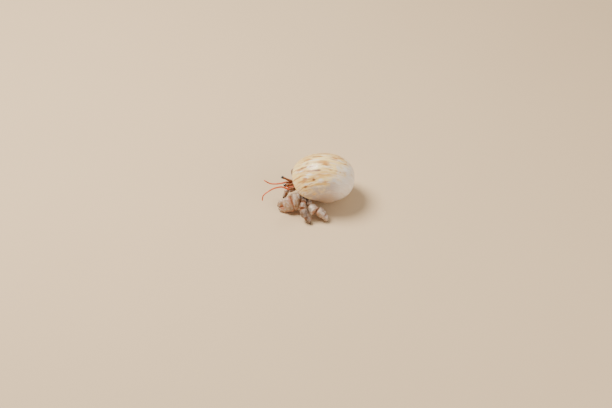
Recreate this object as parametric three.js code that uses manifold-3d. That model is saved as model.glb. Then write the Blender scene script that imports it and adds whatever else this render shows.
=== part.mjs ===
// A small land hermit crab standing in the empty shell of a round sea snail.
// Millimetres, +Z up. The crab faces -Y and its left side is +X.
// The origin is the middle of the footprint, on the surface the crab stands on.

import * as THREE from 'three';
import { mergeVertices } from 'three/addons/utils/BufferGeometryUtils.js';
import Module from 'manifold-3d';

const manifoldLibrary = await Module();
manifoldLibrary.setup();

// ---------------------------------------------------------------- driving sizes

const GAP = 0.16;                  // clearance between neighbouring pieces
const DEGREE = Math.PI / 180;

// The shell: a tube of oval section that winds about an axis and grows as it winds.
const SHELL = {
  apex: new THREE.Vector3(-5.43, 3.25, 13.2),
  spireTurn: 17.3 * DEGREE,        // how far the spire points behind the crab's right
  spireRise: 21.7 * DEGREE,        // how far the spire points up
  lipRise: 27.1 * DEGREE,          // direction of the front of the body whorl, above level
  lipAdvance: 10 * DEGREE,         // how far the whorl runs on past that direction
  widthGrowth: 1.654,              // of the tube's size across the axis, in one turn
  heightGrowth: 1.336,             // of its size along the axis, in one turn
  whorlOffset: 3.314,              // centre of the tube from the axis, at the lip
  whorlDrop: 9.982,                // centre of the tube below the apex, at the lip
  whorlHalfWidth: 10.873,
  whorlHalfHeight: 9.767,
  roundness: 0.917,                // 1 is an ellipse, less is squarer
  centreDrop: 7,                   // point on the axis that sees the whole surface
  baseDepth: 13,                   // from that point to the end of the columella
  baseBlend: 26 * DEGREE,
  crossingFade: 90 * DEGREE,
  wall: 0.9,
  innerLip: 0.3,
  cavityTurn: 150 * DEGREE,
  turnSteps: 33,
  profileSteps: 18,
};

// The crab: its shield is about 5 mm wide, and the rest follows from that.
const MIDLINE = 1.4;               // the crab sits to the left of the shell's middle
const SHIELD_HALF_WIDTH = 2.35;
const SHIELD_TOP = 10.9;
const SHIELD_UNDERSIDE = 8.95;
const ROSTRUM_Y = -12.8;
const SHIELD_REAR_Y = -7.7;
const EYE_RADIUS = 0.62;
const FLAGELLUM_ROOT = 0.36;       // radius of the second antenna at its root
const FLAGELLUM_TIP = 0.26;
const FLOOR_DEPTH = 20;
const FLOOR_WIDTH = 200;
const WELD = 1e-4;                 // points closer than this are one point
const SHORTEST_EDGE = 0.006;       // slivers left by a cut are closed up below this

// ---------------------------------------------------------------- finishes

const finish = (color, roughness, metalness = 0) => ({ color, roughness, metalness });
const FINISH = {
  shell: finish(0xd2c0a6, 0.38),
  shield: finish(0xb98d6c, 0.5),
  soft: finish(0xc79a82, 0.6),
  stalk: finish(0xb5653f, 0.5),
  eye: finish(0x1c110c, 0.12),
  antenna: finish(0xc4552a, 0.5),
  claw: finish(0xc59c7d, 0.45),
  leg: finish(0xbfa48c, 0.5),
};

// ---------------------------------------------------------------- solids

const vector = (x, y, z) => new THREE.Vector3(x, y, z);
const signedPower = (value, power) => Math.sign(value) * Math.abs(value) ** power;
const smoothstep = (value) => {
  const t = THREE.MathUtils.clamp(value, 0, 1);
  return t * t * (3 - 2 * t);
};

function signedVolume(points, faces) {
  let volume = 0;
  for (const [a, b, c] of faces) {
    volume += points[a].dot(points[b].clone().cross(points[c])) / 6;
  }
  return volume;
}

// A closed geometry from points and triangles, turned so that its faces point out.
function closedGeometry(points, faces) {
  const outward = signedVolume(points, faces) > 0;
  const geometry = new THREE.BufferGeometry();
  const coordinates = points.flatMap((point) => point.toArray());
  geometry.setAttribute('position', new THREE.Float32BufferAttribute(coordinates, 3));
  geometry.setIndex(faces.flatMap(([a, b, c]) => (outward ? [a, b, c] : [a, c, b])));
  return geometry;
}

// Rings of equal length joined into one skin. Each end is closed by a strip between the first
// and the second half of its ring, which also fits a crescent.
function loft(rings) {
  const sides = rings[0].length;
  const faces = [];
  for (let ring = 0; ring + 1 < rings.length; ring += 1) {
    for (let side = 0; side < sides; side += 1) {
      const a = ring * sides + side;
      const b = ring * sides + (side + 1) % sides;
      faces.push([a, b, b + sides], [a, b + sides, a + sides]);
    }
  }
  for (const [start, turned] of [[0, true], [(rings.length - 1) * sides, false]]) {
    for (let side = 0; side + 1 < sides / 2; side += 1) {
      const [a, b] = [start + side, start + side + 1];
      const [c, d] = [start + sides - 2 - side, start + sides - 1 - side];
      faces.push(turned ? [a, c, b] : [a, b, c], turned ? [a, d, c] : [a, c, d]);
    }
  }
  return closedGeometry(rings.flat(), faces);
}

function toSolid(geometry) {
  const plain = geometry.clone();
  plain.deleteAttribute('normal');
  plain.deleteAttribute('uv');
  const merged = mergeVertices(plain, WELD);
  return new manifoldLibrary.Manifold(new manifoldLibrary.Mesh({
    numProp: 3,
    vertProperties: new Float32Array(merged.attributes.position.array),
    triVerts: new Uint32Array(merged.index.array),
  }));
}

function toGeometry(solid) {
  const mesh = solid.getMesh();
  const geometry = new THREE.BufferGeometry();
  const coordinates = new Float32Array(mesh.vertProperties);
  geometry.setAttribute('position', new THREE.BufferAttribute(coordinates, 3));
  geometry.setIndex(new THREE.BufferAttribute(new Uint32Array(mesh.triVerts), 1));
  return geometry;
}

// Closes up the slivers that a cut leaves: the ends of every very short edge become one point.
function closeSlivers(geometry) {
  const position = geometry.attributes.position;
  const index = geometry.index.array;
  const keeper = Array.from({ length: position.count }, (_, vertex) => vertex);
  const find = (vertex) => (keeper[vertex] === vertex ? vertex : find(keeper[vertex]));
  const point = (vertex) => new THREE.Vector3().fromBufferAttribute(position, vertex);
  for (let corner = 0; corner < index.length; corner += 1) {
    const start = index[corner];
    const end = index[corner % 3 === 2 ? corner - 2 : corner + 1];
    if (point(start).distanceTo(point(end)) < SHORTEST_EDGE) {
      keeper[find(end)] = find(start);
    }
  }
  const faces = [];
  for (let corner = 0; corner < index.length; corner += 3) {
    const face = [find(index[corner]), find(index[corner + 1]), find(index[corner + 2])];
    if (new Set(face).size === 3) {
      faces.push(...face);
    }
  }
  const closed = geometry.clone();
  closed.setIndex(faces);
  return closed;
}

// ---------------------------------------------------------------- limbs

// How full a rounded segment is along its length, from 0 at one end to 1 at the other.
const STATIONS = [0, 0.09, 0.3, 0.7, 0.91, 1];
const END_LENGTH = 0.17;
const END_FULLNESS = 0.45;
const SIDES = 8;

function fullness(t) {
  const fromEnd = Math.min(t, 1 - t) / END_LENGTH;
  if (fromEnd >= 1) {
    return 1;
  }
  return END_FULLNESS + (1 - END_FULLNESS) * Math.sqrt(1 - (1 - fromEnd) ** 2);
}

// Three values, at the near end, the middle and the far end, joined by a smooth curve.
function along([near, middle, far], t) {
  const [a, b, c] = [2 * (t - 0.5) * (t - 1), 4 * t * (1 - t), 2 * t * (t - 0.5)];
  return near * a + middle * b + far * c;
}

// One hard segment of a limb, round-ended and oval in section. depth is its half size along
// up, width its half size across, both given at the near end, the middle and the far end.
// bow is how far its middle stands off the straight line, along up.
function segment({ from, to, up = vector(0, 0, 1), depth, width, bow = 0 }, grow = 0) {
  const axis = to.clone().sub(from);
  const length = axis.length();
  axis.normalize();
  const high = up.clone().addScaledVector(axis, -up.dot(axis)).normalize();
  const across = axis.clone().cross(high);
  const rings = STATIONS.map((t) => {
    const centre = from.clone().addScaledVector(axis, t * length + (2 * t - 1) * grow);
    centre.addScaledVector(high, bow * 4 * t * (1 - t));
    const halfDepth = along(depth, t) * fullness(t) + grow;
    const halfWidth = along(width, t) * fullness(t) + grow;
    return Array.from({ length: SIDES }, (_, side) => {
      const turn = ((side + 0.5) / SIDES) * 2 * Math.PI;
      const point = centre.clone().addScaledVector(high, halfDepth * Math.cos(turn));
      return point.addScaledVector(across, halfWidth * Math.sin(turn));
    });
  });
  return loft(rings);
}

// A slender feeler along a smooth curve through a few points.
const FEELER_SIDES = 6;
const FEELER_STEPS = 9;

function feeler({ through, root, tip }, grow = 0) {
  const curve = new THREE.CatmullRomCurve3(through);
  const frames = curve.computeFrenetFrames(FEELER_STEPS);
  const rings = [];
  for (let step = 0; step <= FEELER_STEPS; step += 1) {
    const t = step / FEELER_STEPS;
    const centre = curve.getPointAt(t);
    const radius = root + (tip - root) * t + grow;
    rings.push(Array.from({ length: FEELER_SIDES }, (_, side) => {
      const turn = (side / FEELER_SIDES) * 2 * Math.PI;
      const point = centre.clone().addScaledVector(frames.normals[step], radius * Math.cos(turn));
      return point.addScaledVector(frames.binormals[step], radius * Math.sin(turn));
    }));
  }
  return loft(rings);
}

// ---------------------------------------------------------------- the shell

const spireAxis = vector(
  -Math.cos(SHELL.spireRise) * Math.cos(SHELL.spireTurn),
  Math.cos(SHELL.spireRise) * Math.sin(SHELL.spireTurn),
  Math.sin(SHELL.spireRise),
);
const lipAxis = vector(0, -Math.cos(SHELL.lipRise), Math.sin(SHELL.lipRise));
lipAxis.addScaledVector(spireAxis, -lipAxis.dot(spireAxis)).normalize();
const crownAxis = spireAxis.clone().cross(lipAxis);

// Distance from the centre on the axis to the surface of the tube, in the half plane at a turn.
// where is the turn at which the tube has the size it has there. side is -1 where it comes from
// across the axis.
const RAY_STEPS = 60;
const RAY_LENGTH = 21;
const RAY_HALVINGS = 9;

function tubeReach(where, angle, side) {
  const power = 2 / SHELL.roundness;
  const wide = SHELL.widthGrowth ** (where / (2 * Math.PI));
  const high = SHELL.heightGrowth ** (where / (2 * Math.PI));
  const holds = (distance) => {
    const radius = side * distance * Math.cos(angle);
    const height = distance * Math.sin(angle) - SHELL.centreDrop;
    const across = (radius / wide - SHELL.whorlOffset) / SHELL.whorlHalfWidth;
    const up = (height / high + SHELL.whorlDrop) / SHELL.whorlHalfHeight;
    return Math.abs(across) ** power + Math.abs(up) ** power < 1;
  };
  let step = RAY_STEPS;
  while (step > 0 && !holds((step / RAY_STEPS) * RAY_LENGTH)) {
    step -= 1;
  }
  let [inside, outside] = [step, step + 1].map((count) => (count / RAY_STEPS) * RAY_LENGTH);
  for (let halving = 0; halving < RAY_HALVINGS && step > 0; halving += 1) {
    const middle = (inside + outside) / 2;
    [inside, outside] = holds(middle) ? [middle, outside] : [inside, middle];
  }
  return inside;
}

// Distance from the centre to the outside of the shell: the largest of the whorls that lie there.
// The tube is wide enough to cross the axis, which fills the base. That share fades out towards
// the lip, and all of it meets in the end of the columella.
const WHORLS_SEEN = 4;

function shellReach(turn, angle) {
  let own = 0;
  for (let whorl = 0; whorl < WHORLS_SEEN; whorl += 1) {
    own = Math.max(own, tubeReach(turn - 2 * Math.PI * whorl, angle, 1));
  }
  let opposite = turn + Math.PI;
  while (opposite > SHELL.lipAdvance) {
    opposite -= 2 * Math.PI;
  }
  const crossing = tubeReach(Math.min(opposite, -SHELL.crossingFade), angle, -1);
  const share = smoothstep((SHELL.lipAdvance - opposite) / SHELL.crossingFade);
  const reach = THREE.MathUtils.lerp(own, Math.max(own, crossing), share);
  const blend = smoothstep((angle + Math.PI / 2) / SHELL.baseBlend);
  return THREE.MathUtils.lerp(SHELL.baseDepth, reach, blend);
}

function shellPoint(turn, angle, distance) {
  const radius = distance * Math.cos(angle);
  const height = distance * Math.sin(angle) - SHELL.centreDrop;
  const point = SHELL.apex.clone().addScaledVector(spireAxis, height);
  point.addScaledVector(lipAxis, radius * Math.cos(turn));
  return point.addScaledVector(crownAxis, -radius * Math.sin(turn));
}

// The filled outside of the shell, from one whorl behind the lip round to the lip.
function shellOutside(grow = 0) {
  const { turnSteps, profileSteps, lipAdvance } = SHELL;
  const points = [shellPoint(0, -Math.PI / 2, SHELL.baseDepth + grow)];
  for (let row = 0; row <= turnSteps; row += 1) {
    const turn = lipAdvance - 2 * Math.PI * (1 - row / turnSteps);
    for (let column = 1; column < profileSteps; column += 1) {
      const angle = -Math.PI / 2 + (column / profileSteps) * Math.PI;
      points.push(shellPoint(turn, angle, shellReach(turn, angle) + grow));
    }
  }
  const apex = points.length;
  points.push(shellPoint(0, Math.PI / 2, shellReach(0, Math.PI / 2) + grow));
  const columns = profileSteps - 1;
  const faces = [];
  for (let row = 0; row <= turnSteps; row += 1) {
    const here = 1 + row * columns;
    const next = 1 + ((row + 1) % (turnSteps + 1)) * columns;
    for (let column = 0; column + 1 < columns; column += 1) {
      faces.push([here + column, next + column, next + column + 1]);
      faces.push([here + column, next + column + 1, here + column + 1]);
    }
    faces.push([0, next, here]);
    faces.push([apex, here + columns - 1, next + columns - 1]);
  }
  return closedGeometry(points, faces);
}

// The hollow in the last part of the body whorl: a crescent between the outer wall and the
// whorl before it. inset shrinks it on all sides.
const CRESCENT_STEPS = 10;
const CAVITY_RINGS = 11;
const CRESCENT_SCAN = 1.5 * DEGREE;
const CRESCENT_MIDDLE = -20 * DEGREE;
const CRESCENT_END_PULL = 0.125;   // radians the ends draw in for each millimetre of inset
const MOUTH_OVERSHOOT = 3 * DEGREE; // the cut runs out past the lip

function crescent(turn, inset) {
  const outer = (angle) => shellReach(turn, angle) - SHELL.wall - inset;
  const inner = (angle) => shellReach(turn - 2 * Math.PI, angle) + SHELL.innerLip + inset;
  const end = (step) => {
    let angle = CRESCENT_MIDDLE;
    while (outer(angle + step) - inner(angle + step) > SHELL.wall) {
      angle += step;
    }
    return angle;
  };
  const low = end(-CRESCENT_SCAN) + inset * CRESCENT_END_PULL;
  const high = end(CRESCENT_SCAN) - inset * CRESCENT_END_PULL;
  const ring = [];
  for (let step = 0; step <= CRESCENT_STEPS; step += 1) {
    const angle = THREE.MathUtils.lerp(low, high, step / CRESCENT_STEPS);
    ring.push(shellPoint(turn, angle, outer(angle)));
  }
  for (let step = CRESCENT_STEPS; step >= 0; step -= 1) {
    const angle = THREE.MathUtils.lerp(low, high, step / CRESCENT_STEPS);
    ring.push(shellPoint(turn, angle, inner(angle)));
  }
  return ring;
}

function crescentRun(fromTurn, toTurn, steps, inset, closing = () => 0) {
  const rings = [];
  for (let step = 0; step <= steps; step += 1) {
    const turn = THREE.MathUtils.lerp(fromTurn, toTurn, step / steps);
    rings.push(crescent(turn, inset + closing(step)));
  }
  return loft(rings);
}

function floorBlock() {
  const block = new THREE.BoxGeometry(FLOOR_WIDTH, FLOOR_WIDTH, FLOOR_DEPTH);
  block.translate(0, 0, -FLOOR_DEPTH / 2);
  return block;
}

const floor = toSolid(floorBlock());

function shellSolid(grow = 0) {
  const mouth = SHELL.lipAdvance + MOUTH_OVERSHOOT;
  const cavity = toSolid(crescentRun(mouth, -SHELL.cavityTurn, CAVITY_RINGS, grow));
  return toSolid(shellOutside(grow)).subtract(cavity).subtract(floor);
}

// The soft abdomen fills the hollow, with a rounded front and a rounded end.
const ABDOMEN_CLEARANCE = 0.45;
const ABDOMEN_ROUNDING = 0.7;      // how far each end ring draws in
const ABDOMEN_FRONT = SHELL.lipAdvance - 16 * DEGREE;
const ABDOMEN_END = 4 * DEGREE - SHELL.cavityTurn;

function abdomenSolid(grow = 0) {
  const steps = CAVITY_RINGS - 2;
  const inset = ABDOMEN_CLEARANCE - grow;
  const closing = (step) => (step === 0 || step === steps ? ABDOMEN_ROUNDING : 0);
  return toSolid(crescentRun(ABDOMEN_FRONT, ABDOMEN_END, steps, inset, closing));
}

// ---------------------------------------------------------------- the trunk

// A body of oval rings, each given by its centre, the way it faces, and its half sizes.
const BODY_SIDES = 8;
const BODY_SQUARENESS = 0.85;

function body(stations, grow = 0) {
  const rings = stations.map(({ at, facing, depth, width }, index) => {
    const forward = facing.clone().normalize();
    const high = vector(0, 0, 1).addScaledVector(forward, -forward.z);
    if (high.length() < 0.5) {
      high.set(0, -1, 0).addScaledVector(forward, forward.y);
    }
    high.normalize();
    const across = forward.clone().cross(high);
    const end = { 0: -1, [stations.length - 1]: 1 }[index] ?? 0;
    const centre = at.clone().addScaledVector(forward, end * grow);
    return Array.from({ length: BODY_SIDES }, (_, side) => {
      const turn = ((side + 0.5) / BODY_SIDES) * 2 * Math.PI;
      const rise = (depth + grow) * signedPower(Math.cos(turn), BODY_SQUARENESS);
      const reach = (width + grow) * signedPower(Math.sin(turn), BODY_SQUARENESS);
      return centre.clone().addScaledVector(high, rise).addScaledVector(across, reach);
    });
  });
  return loft(rings);
}

// The hard shield on the head: a low arch that narrows to the rostrum.
function shield(grow) {
  const middle = (SHIELD_TOP + SHIELD_UNDERSIDE) / 2;
  const depth = (SHIELD_TOP - SHIELD_UNDERSIDE) / 2;
  const outline = [[0, 0.22, 0.25], [0.06, 0.6, 0.5], [0.18, 0.88, 0.78], [0.38, 1, 0.96],
    [0.62, 1, 1], [0.85, 0.94, 0.94], [1, 0.78, 0.7]];
  return body(outline.map(([t, width, height]) => ({
    at: vector(MIDLINE, THREE.MathUtils.lerp(ROSTRUM_Y, SHIELD_REAR_Y, t), middle),
    facing: vector(0, 1, 0),
    depth: depth * height,
    width: SHIELD_HALF_WIDTH * width,
  })), grow);
}

function thorax(grow) {
  const facing = vector(0, 1, 0);
  return body([
    { at: vector(MIDLINE, -12.3, 7.6), facing, depth: 0.7, width: 1.0 },
    { at: vector(MIDLINE, -11.7, 7.5), facing, depth: 1.2, width: 1.7 },
    { at: vector(MIDLINE, -10.2, 7.2), facing, depth: 1.6, width: 2.1 },
    { at: vector(MIDLINE, -8.6, 7.1), facing, depth: 1.7, width: 2.2 },
    { at: vector(MIDLINE, -7.6, 7.3), facing, depth: 1.4, width: 1.9 },
  ], grow);
}

// The soft hind part of the carapace turns up and to the left, into the mouth of the shell.
function hindCarapace(grow) {
  return body([
    { at: vector(1.6, -8.3, 8.4), facing: vector(0.2, 0.4, 1), depth: 1.0, width: 1.8 },
    { at: vector(2.2, -7.9, 9.9), facing: vector(0.4, 0.1, 1), depth: 1.3, width: 2.3 },
    { at: vector(3.1, -8.0, 11.6), facing: vector(0.5, 0, 1), depth: 1.7, width: 2.8 },
    { at: vector(4.1, -7.9, 13.4), facing: vector(0.5, 0.2, 1), depth: 1.9, width: 3.0 },
    { at: vector(4.9, -7.5, 15.0), facing: vector(0.4, 0.3, 1), depth: 1.6, width: 2.4 },
  ], grow);
}

const EYE_SIDES = 10;
const EYE_RINGS = 6;

function eyeball(centre, grow) {
  const ball = new THREE.SphereGeometry(EYE_RADIUS + grow, EYE_SIDES, EYE_RINGS);
  ball.translate(centre.x, centre.y, centre.z);
  return ball;
}

// ---------------------------------------------------------------- limbs in place

const EYE = { left: vector(3.35, -16.3, 11.55), right: vector(-0.6, -16.3, 12.25) };
const STALK_ROOT = { left: vector(2.2, -12.3, 9.9), right: vector(0.6, -12.3, 9.9) };
const EYESTALK = { depth: [0.62, 0.5, 0.46], width: [0.5, 0.42, 0.44] };
const ANTENNULE = {
  left: [
    vector(1.8, -12.2, 8.6), vector(1.95, -14.2, 8.5),
    vector(2.0, -15.2, 9.5), vector(2.1, -16.2, 8.9),
  ],
  right: [
    vector(1.0, -12.2, 8.6), vector(0.85, -14.2, 8.5),
    vector(0.8, -15.2, 9.5), vector(0.7, -16.2, 8.9),
  ],
};
const ANTENNULE_ROOT = 0.33;
const PEDUNCLE = {
  left: {
    from: vector(3.2, -12.0, 8.8), to: vector(4.0, -15.0, 9.5),
    depth: [0.7, 0.7, 0.5], width: [0.6, 0.6, 0.45],
  },
  right: {
    from: vector(-0.4, -12.0, 8.8), to: vector(-0.9, -14.9, 8.9),
    depth: [0.7, 0.7, 0.5], width: [0.6, 0.6, 0.45],
  },
};
const FLAGELLUM = {
  left: [
    vector(3.9, -14.7, 9.4), vector(4.5, -16.2, 10.9), vector(5.2, -18.2, 12.8),
    vector(6.4, -21.3, 14.0), vector(7.6, -23.9, 14.2), vector(8.6, -26.4, 13.3),
    vector(9.2, -27.0, 11.1),
  ],
  right: [
    vector(-0.9, -14.6, 8.9), vector(-0.9, -16.8, 8.7), vector(-1.3, -19.2, 8.6),
    vector(-1.8, -21.3, 9.0), vector(-2.6, -23.4, 10.5),
  ],
};
const MAXILLIPED = {
  left: {
    from: vector(2.1, -11.5, 7.2), to: vector(2.1, -14.3, 6.1),
    depth: [0.6, 0.6, 0.35], width: [0.45, 0.5, 0.35],
  },
  right: {
    from: vector(0.7, -11.5, 7.2), to: vector(0.7, -14.3, 6.1),
    depth: [0.6, 0.6, 0.35], width: [0.45, 0.5, 0.35],
  },
};

const CLAW_UP = { left: vector(-0.55, -0.2, 0.84), right: vector(0.4, 0.1, 0.9) };

// Each limb from the body outwards. The claw's palm carries its fixed finger.
const LIMBS = {
  cheliped_left: {
    base: {
      from: vector(2.9, -10.1, 6.6), to: vector(4.7, -10.3, 6.2),
      depth: [0.9, 1.0, 1.0], width: [0.8, 0.8, 0.8],
    },
    merus: {
      from: vector(4.3, -10.2, 6.4), to: vector(7.2, -11.6, 5.1),
      depth: [1.2, 2.0, 2.3], width: [0.9, 1.2, 1.2],
      up: CLAW_UP.left,
    },
    carpus: {
      from: vector(7.0, -11.0, 5.2), to: vector(6.9, -14.2, 4.7),
      depth: [2.2, 3.2, 3.3], width: [1.3, 1.8, 1.6],
      up: CLAW_UP.left,
    },
    palm: {
      from: vector(7.2, -13.7, 4.5), to: vector(5.9, -17.4, 2.8),
      depth: [2.9, 3.1, 2.5], width: [1.5, 1.9, 1.3],
      up: CLAW_UP.left,
    },
    finger: {
      from: vector(6.8, -16.3, 1.85), to: vector(5.35, -19.6, 1.15),
      depth: [1.6, 1.25, 0.42], width: [1.1, 0.95, 0.42],
      up: CLAW_UP.left, bow: -0.2,
    },
    dactyl: {
      from: vector(5.4, -16.9, 4.0), to: vector(4.85, -19.8, 1.95),
      depth: [1.6, 1.3, 0.4], width: [1.05, 0.9, 0.4],
      up: CLAW_UP.left, bow: 0.35,
    },
  },
  cheliped_right: {
    base: {
      from: vector(-0.2, -10.1, 6.4), to: vector(-1.8, -10.6, 6.0),
      depth: [0.8, 0.8, 0.8], width: [0.65, 0.65, 0.65],
    },
    merus: {
      from: vector(-1.5, -10.4, 6.1), to: vector(-3.4, -12.1, 4.9),
      depth: [0.8, 1.1, 1.2], width: [0.7, 0.8, 0.9],
    },
    carpus: {
      from: vector(-3.4, -11.7, 4.9), to: vector(-2.2, -13.6, 4.1),
      depth: [1.0, 1.4, 1.4], width: [0.8, 1.0, 0.9],
    },
    palm: {
      from: vector(-2.4, -13.2, 4.2), to: vector(-0.7, -15.0, 2.9),
      depth: [1.3, 1.6, 1.3], width: [0.8, 1.0, 0.8],
      up: CLAW_UP.right,
    },
    finger: {
      from: vector(-1.3, -14.3, 2.4), to: vector(0.5, -16.2, 1.1),
      depth: [0.8, 0.6, 0.28], width: [0.65, 0.5, 0.28],
      up: CLAW_UP.right, bow: -0.15,
    },
    dactyl: {
      from: vector(-1.1, -14.7, 3.7), to: vector(0.6, -16.5, 1.6),
      depth: [0.75, 0.55, 0.27], width: [0.6, 0.5, 0.27],
      up: CLAW_UP.right, bow: 0.2,
    },
  },
  leg2_left: {
    base: {
      from: vector(2.9, -8.8, 6.4), to: vector(4.9, -9.1, 6.3),
      depth: [0.9, 1.0, 1.0], width: [0.7, 0.72, 0.7],
    },
    merus: {
      from: vector(4.6, -9.0, 6.4), to: vector(10.3, -10.3, 6.7),
      depth: [1.0, 1.5, 1.5], width: [0.75, 0.95, 1.1],
    },
    carpus: {
      from: vector(10.0, -10.3, 6.7), to: vector(12.2, -11.4, 5.5),
      depth: [1.3, 1.6, 1.6], width: [1.1, 1.35, 1.4],
    },
    propodus: {
      from: vector(12.1, -11.4, 5.8), to: vector(14.4, -10.6, 2.7),
      depth: [1.5, 1.75, 1.45], width: [1.35, 1.5, 1.3],
    },
    dactyl: {
      from: vector(14.1, -10.5, 3.0), to: vector(15.95, -9.2, -0.2),
      depth: [1.35, 1.15, 0.45], width: [1.2, 1.05, 0.42],
      bow: 0.25,
    },
  },
  leg2_right: {
    base: {
      from: vector(-0.1, -8.8, 6.4), to: vector(-2.0, -9.0, 6.3),
      depth: [0.9, 0.95, 0.95], width: [0.68, 0.7, 0.7],
    },
    merus: {
      from: vector(-1.7, -8.9, 6.4), to: vector(-6.4, -9.6, 7.2),
      depth: [1.0, 1.45, 1.45], width: [0.75, 0.9, 1.0],
    },
    carpus: {
      from: vector(-6.1, -9.5, 7.2), to: vector(-8.9, -9.2, 5.9),
      depth: [1.25, 1.5, 1.5], width: [1.1, 1.35, 1.35],
    },
    propodus: {
      from: vector(-8.6, -9.2, 6.1), to: vector(-10.3, -8.2, 3.0),
      depth: [1.4, 1.6, 1.35], width: [1.3, 1.45, 1.2],
    },
    dactyl: {
      from: vector(-10.2, -8.4, 3.3), to: vector(-11.2, -6.7, -0.2),
      depth: [1.25, 1.0, 0.4], width: [1.15, 1.0, 0.4],
      bow: 0.25,
    },
  },
  leg3_left: {
    base: {
      from: vector(2.9, -7.5, 6.2), to: vector(4.9, -7.2, 6.0),
      depth: [0.85, 0.95, 0.95], width: [0.65, 0.7, 0.7],
    },
    merus: {
      from: vector(4.6, -7.2, 5.9), to: vector(11.2, -8.2, 5.0),
      depth: [1.0, 1.6, 1.8], width: [0.75, 1.0, 1.4],
    },
    carpus: {
      from: vector(10.9, -8.1, 5.0), to: vector(14.0, -6.7, 4.2),
      depth: [1.8, 2.15, 1.9], width: [1.4, 1.95, 1.9],
    },
    propodus: {
      from: vector(13.6, -5.6, 4.9), to: vector(15.3, -3.4, 2.8),
      depth: [1.6, 1.75, 1.4], width: [1.6, 1.75, 1.4],
    },
    dactyl: {
      from: vector(15.1, -3.7, 3.1), to: vector(16.5, -2.3, -0.2),
      depth: [1.3, 1.15, 0.45], width: [1.3, 1.1, 0.45],
      bow: 0.25,
    },
  },
  leg3_right: {
    base: {
      from: vector(-0.1, -7.6, 5.9), to: vector(-1.9, -7.7, 5.2),
      depth: [0.7, 0.75, 0.75], width: [0.6, 0.62, 0.62],
    },
    merus: {
      from: vector(-1.6, -7.7, 5.2), to: vector(-6.9, -7.5, 4.8),
      depth: [0.8, 1.3, 1.4], width: [0.7, 0.85, 1.0],
    },
    carpus: {
      from: vector(-6.6, -7.4, 4.9), to: vector(-9.4, -5.5, 4.6),
      depth: [1.3, 1.6, 1.55], width: [1.1, 1.4, 1.4],
    },
    propodus: {
      from: vector(-9.1, -5.5, 4.8), to: vector(-11.0, -2.9, 2.9),
      depth: [1.45, 1.6, 1.35], width: [1.35, 1.5, 1.25],
    },
    dactyl: {
      from: vector(-10.9, -3.2, 3.2), to: vector(-11.9, -0.9, -0.2),
      depth: [1.25, 1.0, 0.4], width: [1.2, 1.0, 0.4],
      bow: 0.25,
    },
  },
};
// The short fourth legs brace the mouth of the shell.
const BRACE = {
  left: {
    from: vector(3.5, -7.7, 8.2), to: vector(7.6, -6.2, 9.2),
    depth: [0.6, 0.7, 0.5], width: [0.5, 0.6, 0.42],
  },
  right: {
    from: vector(-0.5, -8.4, 8.4), to: vector(-2.9, -8.3, 11.0),
    depth: [0.5, 0.6, 0.45], width: [0.5, 0.55, 0.4],
  },
};

// ---------------------------------------------------------------- assembly

const crab = new THREE.Group();
const placed = [];

// Adds one piece. It gives way to every piece placed before it, keeping GAP to each.
function place(name, look, make) {
  let solid = make(0).subtract(floor);
  const bounds = new THREE.Box3().setFromBufferAttribute(toGeometry(solid).attributes.position);
  for (const other of placed) {
    if (other.bounds.intersectsBox(bounds)) {
      solid = solid.subtract(other.grown);
    }
  }
  const material = new THREE.MeshStandardMaterial(FINISH[look]);
  const mesh = new THREE.Mesh(closeSlivers(toGeometry(solid)), material);
  mesh.name = name;
  crab.add(mesh);
  placed.push({ grown: make(GAP), bounds: bounds.clone().expandByScalar(GAP) });
}

const limbSolid = (spec) => (grow) => toSolid(segment(spec, grow));
const palmSolid = (limb) => (grow) => limbSolid(limb.palm)(grow).add(limbSolid(limb.finger)(grow));
const SIDE_NAMES = ['left', 'right'];

place('shell', 'shell', shellSolid);
place('abdomen', 'soft', abdomenSolid);
for (const side of SIDE_NAMES) {
  place(`eye_${side}`, 'eye', (grow) => toSolid(eyeball(EYE[side], grow)));
  place(`eyestalk_${side}`, 'stalk', limbSolid({ from: STALK_ROOT[side], to: EYE[side], ...EYESTALK }));
  place(`antenna_flagellum_${side}`, 'antenna', (grow) => toSolid(feeler({
    through: FLAGELLUM[side], root: FLAGELLUM_ROOT, tip: FLAGELLUM_TIP }, grow)));
  place(`antenna_peduncle_${side}`, 'antenna', limbSolid(PEDUNCLE[side]));
  place(`antennule_${side}`, 'antenna', (grow) => toSolid(feeler({
    through: ANTENNULE[side], root: ANTENNULE_ROOT, tip: FLAGELLUM_TIP }, grow)));
}
place('shield', 'shield', (grow) => toSolid(shield(grow)));
for (const [name, limb] of Object.entries(LIMBS)) {
  const look = limb.palm ? 'claw' : 'leg';
  place(`${name}_dactyl`, look, limbSolid(limb.dactyl));
  if (limb.palm) {
    place(`${name}_palm`, look, palmSolid(limb));
  } else {
    place(`${name}_propodus`, look, limbSolid(limb.propodus));
  }
  for (const link of ['carpus', 'merus', 'base']) {
    place(`${name}_${link}`, look, limbSolid(limb[link]));
  }
}
for (const side of SIDE_NAMES) {
  place(`maxilliped_${side}`, 'leg', limbSolid(MAXILLIPED[side]));
  place(`leg4_${side}`, 'leg', limbSolid(BRACE[side]));
}
place('thorax', 'shield', (grow) => toSolid(thorax(grow)));
place('carapace_hind', 'soft', (grow) => toSolid(hindCarapace(grow)));

// The origin goes to the middle of the footprint.
const whole = new THREE.Box3().setFromObject(crab);
crab.position.set(-(whole.min.x + whole.max.x) / 2, -(whole.min.y + whole.max.y) / 2, -whole.min.z);
const model = new THREE.Group();
model.add(crab);

export default model;
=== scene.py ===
"""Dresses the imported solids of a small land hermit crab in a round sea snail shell.

Laid out as a Blender add-on and run as a script. Shapes are worked out in millimetres in the
solids' own layout, and are turned into metres in the frame as each piece is made.
"""

import itertools
import math

import bpy
import numpy as np
from mathutils import Matrix, Vector


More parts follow.
